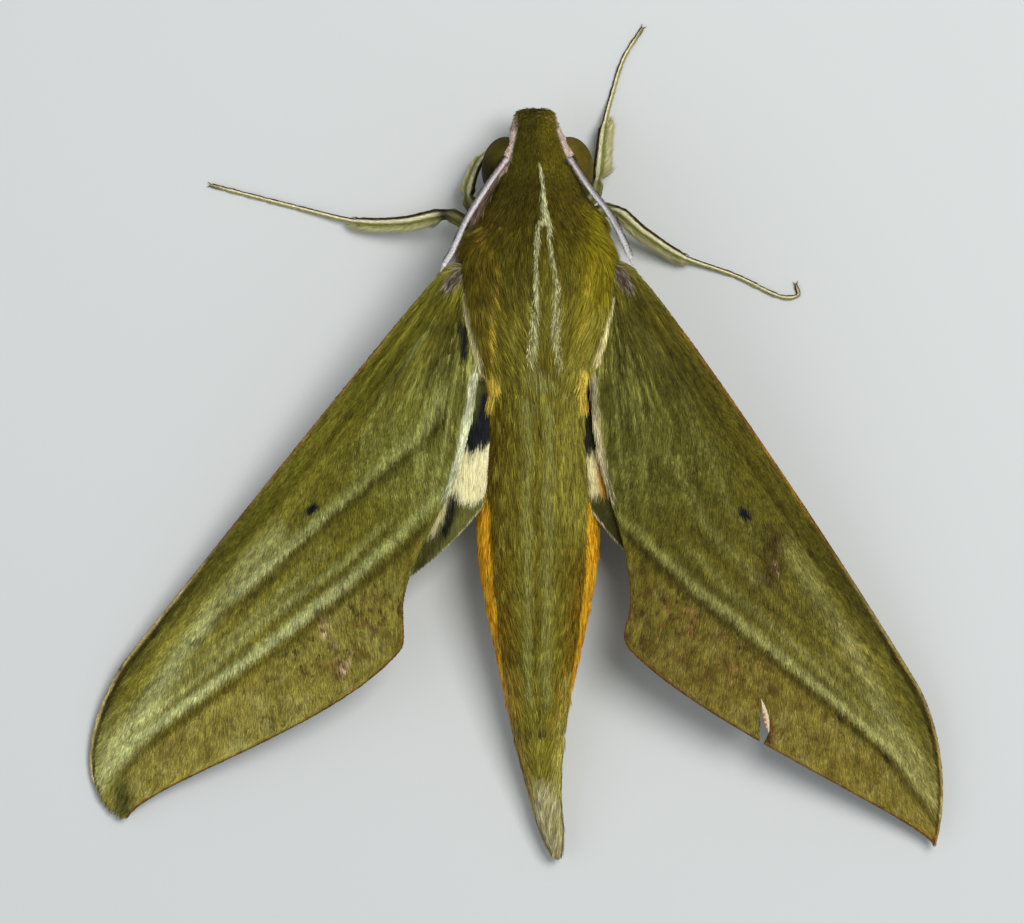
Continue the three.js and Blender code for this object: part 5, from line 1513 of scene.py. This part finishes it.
def curled_flap(wing):
    """The torn membrane beside the notch, curled over into a thin cream roll with rusty ridges."""
    along, across, up, hinge = wing_frame(wing)
    share = np.linspace(0, 1, 60)
    place = FLAP_START + FLAP_LENGTH * share
    breadth = -5.0 - 0.5 * share ** 1.3
    half = (
        0.02 + 0.15 * np.sin(math.pi * share ** 1.2)
        * (1 - 0.12 * np.abs(np.cos(share * FLAP_RIDGES)) ** 3)
    )
    height = WING_TOP + 0.3 - 0.16 * share
    middle = hinge + along * place[:, None] + across * breadth[:, None] + up * height[:, None]
    roll = lofted("notch_flap", to_row(tube_rings(middle, half, 0.4 * half + 0.015, 14)))
    a, b, _ = wing_places(to_body(mesh_places(roll.data)), wing)
    inner = np.interp(a, place, breadth) - b
    ridges = (
        ramp(0.1, 0.7, np.abs(np.cos((a - FLAP_START) / FLAP_LENGTH * FLAP_RIDGES)))
        * ramp(-0.02, 0.04, inner) * ramp(25.2, 25.5, a)
    )
    tint = over(np.tile(paint(232, 220, 190), (len(a), 1)), paint(204, 128, 62), 0.9 * ridges)
    set_tint(roll.data, tint * (1 + 0.12 * mottle(np.stack([a, b, 0 * a], -1), 0.1, 70))[:, None])
    return roll


def looks_up(mesh):
    """Whether each vertex of a wing's skin is on its upper face."""
    normals = np.zeros(len(mesh.vertices) * 3, np.float32)
    mesh.vertices.foreach_get("normal", normals)
    return normals.reshape(-1, 3)[:, 2] > 0.2


wing_scales = coat_material("forewing scales", 0.55, 0.85, 1.15, 0.38)
wing_skin_finish = skin_material("forewing membrane", 0.08, 0.6, 0.5)
for wing_name, wing in WINGS.items():
    outline = FOREWINGS[wing_name]
    leading, trailing = edge_of(outline["leading"]), edge_of(outline["trailing"])
    skin = lofted(f"forewing_{wing_name}_skin",
                  to_row(wing_rings(wing, outline, WING_TOP, 0.0, vein_relief, 250, 76)))
    if wing_name == "right":
        cut_notch(skin)
    tint_of = forewing_tint(wing_name, wing, outline)
    places = to_body(mesh_places(skin.data))
    set_tint(skin.data, tint_of(places))
    skin.data.materials.append(wing_skin_finish)
    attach(skin, "root")
    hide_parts(f"forewing_{wing_name}")
    if wing_name == "right":
        flap = curled_flap(wing)
        flap.data.materials.append(skin_material("torn membrane", 0.05, 0.6, 0.4))
        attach(flap, "root")
    a, b, height = wing_places(places, wing)
    upward = looks_up(skin.data)
    from_back, from_front = b - trailing(a), leading(a) - b
    lie = wing_lie(places, wing, outline)
    along, across, _, _ = wing_frame(wing)
    # beside an edge the scales turn to lie along it, and they are shorter there
    for gap, edge_at in ((from_back, trailing), (from_front, leading)):
        slope = (edge_at(a + 0.1) - edge_at(a - 0.1)) / 0.2
        beside = (along + across * slope[:, None]) / np.hypot(1, slope)[:, None]
        share = (1 - ramp(0.12, 0.7, gap))[:, None]
        lie = lie * (1 - share) + beside * share
    from_edge = np.minimum(from_back, from_front)
    carry(
        skin.data,
        lie=lie,
        lift=np.ones(len(a)),
        size=(1 + 1.0 * (1 - ramp(2.0, 11.0, a))) * (0.4 + 0.6 * ramp(0.0, 0.4, from_edge)),
        cover=np.where(upward, 1.0, 0.22) * ramp(-1.2, -0.2, a),
    )
    scales = grow_coat(f"forewing_{wing_name}_scales", skin, leaf_blade, wing_scales, tint_of,
                       density=235, length=0.42, width=0.055, lift=0.045, wander=0.12, seed=71)
    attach(scales, "root")
    # the longer hair on the inner edge, and the violet-grey tuft over the root
    inner = (1 - ramp(0.25, 0.7, from_back)) * window(3.2, 10.0, a, 0.8) * ramp(0.03, 0.1, from_back)
    root_hair = (1 - ramp(-0.1, 0.7, a)) * ramp(0.0, 0.3, from_front)
    carry(
        skin.data,
        size=0.6 + 0.15 * ramp(1.0, 3.0, a),
        lift=1 + 1.6 * (1 - ramp(0.6, 2.0, a)),
        cover=np.where(upward, 1.0, 0.0) * (inner + root_hair),
    )
    hair = grow_coat(f"forewing_{wing_name}_hair", skin, lock_blade, wing_scales, tint_of, density=420,
                     length=1.1, width=0.04, lift=0.09, wander=0.12, seed=72)
    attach(hair, "root")

# ---- The hindwings ----
# Each hindwing is a smaller, softer membrane hooked under the forewing. Only its inner
# corner shows beside the abdomen, under long soft hair that is blue-black at the root,
# cream behind it and green at the margin.
HINDWING_DROP = 0.85
HINDWING = {
    "leading": [[(0.4, -0.9), (6.0, -0.2), (14.0, 0.3), (20.5, -1.2)]],
    "trailing": [[(0.4, -1.7), (2.3, -4.0), (4.3, -5.8), (6.2, -7.05)],
                 [(6.2, -7.05), (7.7, -8.2), (9.0, -8.95), (10.0, -8.75)],
                 [(10.0, -8.75), (12.5, -8.5), (15.0, -7.9), (16.4, -6.9)],
                 [(16.4, -6.9), (18.0, -5.6), (19.4, -3.6), (20.5, -1.6)]],
}


def hindwing_relief(place, breadth):
    """Low soft pleats that fan out from the root."""
    fan = np.arctan2(breadth + 0.4, place + 0.5)
    return 0.05 * np.cos(fan * 26) * ramp(3.0, 8.0, place)


def hindwing_tint(wing_name, wing):
    """Black at the root, a cream patch, then a dark band and the green margin with its white edge."""
    trailing = edge_of(HINDWING["trailing"])
    right = wing_name == "right"

    def tint_of(places):
        x, y, z = (places - [0, TINT_LEAD, 0]).T
        a, b, _ = wing_places(places, wing)
        out = np.abs(x)
        ragged = 0.12 * mottle(places * [1, 0.25, 1], 0.16, 81)
        from_back = b - wing["tuck"] - trailing(a)
        tint = np.tile(paint(92, 92, 38), (len(x), 1))
        tint = over(tint, paint(110, 108, 56), 0.5 * ramp(-0.2, 0.8, mottle(places * [1, 0.3, 1], 0.3, 82)))
        if right:
            tint = over(tint, paint(30, 30, 22),
                        0.9 * stroke(x + ragged, y, [(2.9, -6.5), (2.9, -9.8)], 0.9, 0.2))
            cream = stroke(x + ragged, y + ragged, [(3.05, -10.2), (3.1, -12.0)], 0.62, 0.12)
            rust = stroke(x + ragged, y + ragged, [(3.4, -10.3), (3.6, -12.2)], 0.42, 0.14)
            tint = over(tint, paint(236, 224, 168), 0.95 * cream)
            tint = over(tint, paint(214, 160, 62), 0.9 * rust)
            tint = over(tint, paint(58, 56, 22), 0.8 * stroke(x, y, [(3.4, -12.9), (4.4, -15.2)], 0.9, 0.4))
        else:
            root = stroke(x + ragged, y + 3 * ragged, [(-3.0, -7.3), (-3.35, -9.3)], 1.3, 0.2)
            tint = over(tint, paint(22, 26, 34), 0.96 * root * ramp(-10.1, -9.7, y + 2 * ragged))
            tint = over(tint, paint(86, 92, 34),
                        0.9 * stroke(x + ragged, y, [(-3.6, -6.6), (-3.9, -8.2)], 0.7, 0.2))
            cream = window(-12.6, -9.85, y + 2.4 * ragged, 0.16) * window(2.4, 5.2, out + ragged, 0.15)
            tint = over(tint, paint(250, 242, 192), 0.96 * cream)
            margin = stroke(x, y, [(-3.0, -13.2), (-4.4, -13.9), (-5.6, -15.2), (-7.4, -17.2)], 0.7, 0.4)
            tint = over(tint, paint(124, 126, 66), 0.6 * margin)
            tint = over(tint, paint(52, 50, 24),
                        0.8 * stroke(x + ragged, y, [(-5.3, -14.2), (-6.6, -16.3)], 0.5, 0.3))
            dark = stroke(x + ragged, y + ragged, [(-4.72, -12.3), (-4.85, -13.2), (-5.2, -14.4)], 0.5, 0.14)
            tint = over(tint, paint(22, 24, 20), 0.96 * dark)
            sliver = stroke(x + ragged, y + ragged, [(-5.35, -12.8), (-5.9, -14.4)], 0.42, 0.12)
            tint = over(tint, paint(224, 216, 162), 0.92 * sliver)
        edge = 1 - ramp(0.05, 0.16, from_back)
        tint = over(tint, paint(214, 208, 168), 0.85 * edge * (1 - ramp(12.0, 17.0, a)) * ramp(6.0, 8.0, a))
        # painted shade: the part of the hindwing that lies under the forewing is darkened
        shade_under_forewing = ramp(3.0, 5.5, from_back) * ramp(8.0, 11.0, a)
        tint = over(tint, paint(40, 36, 26), 0.8 * shade_under_forewing)
        return np.clip(tint * (1 + 0.1 * mottle(places, 0.2, 83))[:, None], 0.002, 1)

    return tint_of


hind_scales = coat_material("hindwing hair", 0.6, 0.85, 1.15, 0.24)
hind_skin_finish = skin_material("hindwing membrane", 0.08, 0.65, 0.5)
for wing_name, wing in WINGS.items():
    lift = WING_TOP - HINDWING_DROP
    skin = lofted(f"hindwing_{wing_name}_skin",
                  to_row(wing_rings(wing, HINDWING, lift, wing["tuck"], hindwing_relief, 150, 46)))
    tint_of = hindwing_tint(wing_name, wing)
    places = to_body(mesh_places(skin.data))
    set_tint(skin.data, tint_of(places))
    skin.data.materials.append(hind_skin_finish)
    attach(skin, "root")
    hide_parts(f"hindwing_{wing_name}")
    a, b, _ = wing_places(places, wing)
    along, across, _, _ = wing_frame(wing)
    from_back = b - wing["tuck"] - edge_of(HINDWING["trailing"])(a)
    backwards = np.array([0.12 * wing["side"], -1.0, -0.1])
    near_body = 1 - ramp(2.0, 5.0, from_back)
    lie = near_body[:, None] * backwards + (1 - near_body)[:, None] * along
    upward = looks_up(skin.data)
    carry(
        skin.data,
        lie=lie,
        lift=np.ones(len(a)),
        size=(0.6 + 0.7 * near_body) * (0.3 + 0.7 * ramp(0.0, 0.8, from_back)),
        cover=np.where(upward, 0.35 + 0.65 * near_body, 0.3),
    )
    scales = grow_coat(f"hindwing_{wing_name}_hair", skin, leaf_blade, hind_scales, tint_of, density=280,
                       length=0.65, width=0.05, lift=0.08, wander=0.12, seed=81)
    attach(scales, "root")

# ---- The floor, the light and the camera ----
# A plain pale table stands for the ground, under one broad soft lamp from the moth's right,
# a weaker one from its left and a pale surround. The camera looks straight down.
FLOOR_HALF = 0.6
CAMERA_HEIGHT = 0.35
VIEW_WIDTH = 0.05851
VIEW_CENTRE = (-0.000238, -0.001096)
floor_mesh = bpy.data.meshes.new("floor")
floor_mesh.from_pydata(
    [(-FLOOR_HALF, -FLOOR_HALF, 0), (FLOOR_HALF, -FLOOR_HALF, 0), (FLOOR_HALF, FLOOR_HALF, 0),
     (-FLOOR_HALF, FLOOR_HALF, 0)],
    [], [(0, 1, 2, 3)],
)
floor = bpy.data.objects.new("floor", floor_mesh)
bpy.context.scene.collection.objects.link(floor)
floor_finish, floor_tree, floor_shader = new_material("pale table", 0.9, specular=0.1)
floor_shader.inputs["Base Color"].default_value = (0.69, 0.71, 0.71, 1.0)
floor_mesh.materials.append(floor_finish)


def add_lamp(name, place, aim, size, power, colour):
    """A square soft lamp that faces the moth."""
    data = bpy.data.lights.new(name, "AREA")
    data.shape = "SQUARE"
    data.size = size
    data.energy = power
    data.color = colour
    lamp = bpy.data.objects.new(name, data)
    lamp.location = place
    lamp.rotation_euler = (Vector(aim) - Vector(place)).to_track_quat("-Z", "Y").to_euler()
    bpy.context.scene.collection.objects.link(lamp)
    return lamp


add_lamp("key lamp", (0.10, 0.07, 0.29), (0, 0, 0), 0.14, 0.72, (1.0, 0.99, 0.96))
add_lamp("fill lamp", (-0.25, -0.05, 0.25), (0, 0, 0), 0.3, 0.22, (0.95, 0.98, 1.0))
world = bpy.data.worlds.new("surround")
world.use_nodes = True
world.node_tree.nodes["Background"].inputs["Color"].default_value = (0.9, 0.95, 1.0, 1.0)
world.node_tree.nodes["Background"].inputs["Strength"].default_value = 0.28
bpy.context.scene.world = world
bpy.context.scene.view_settings.view_transform = "Standard"

camera_data = bpy.data.cameras.new("camera")
camera_data.sensor_width = 36
camera_data.lens = 36 * CAMERA_HEIGHT / VIEW_WIDTH
camera_data.clip_start = 0.01
camera_data.clip_end = 5.0
camera = bpy.data.objects.new("camera", camera_data)
camera.location = (*VIEW_CENTRE, CAMERA_HEIGHT)
bpy.context.scene.collection.objects.link(camera)
bpy.context.scene.camera = camera

for blade in (leaf_blade, lock_blade):
    bpy.data.objects.remove(blade)
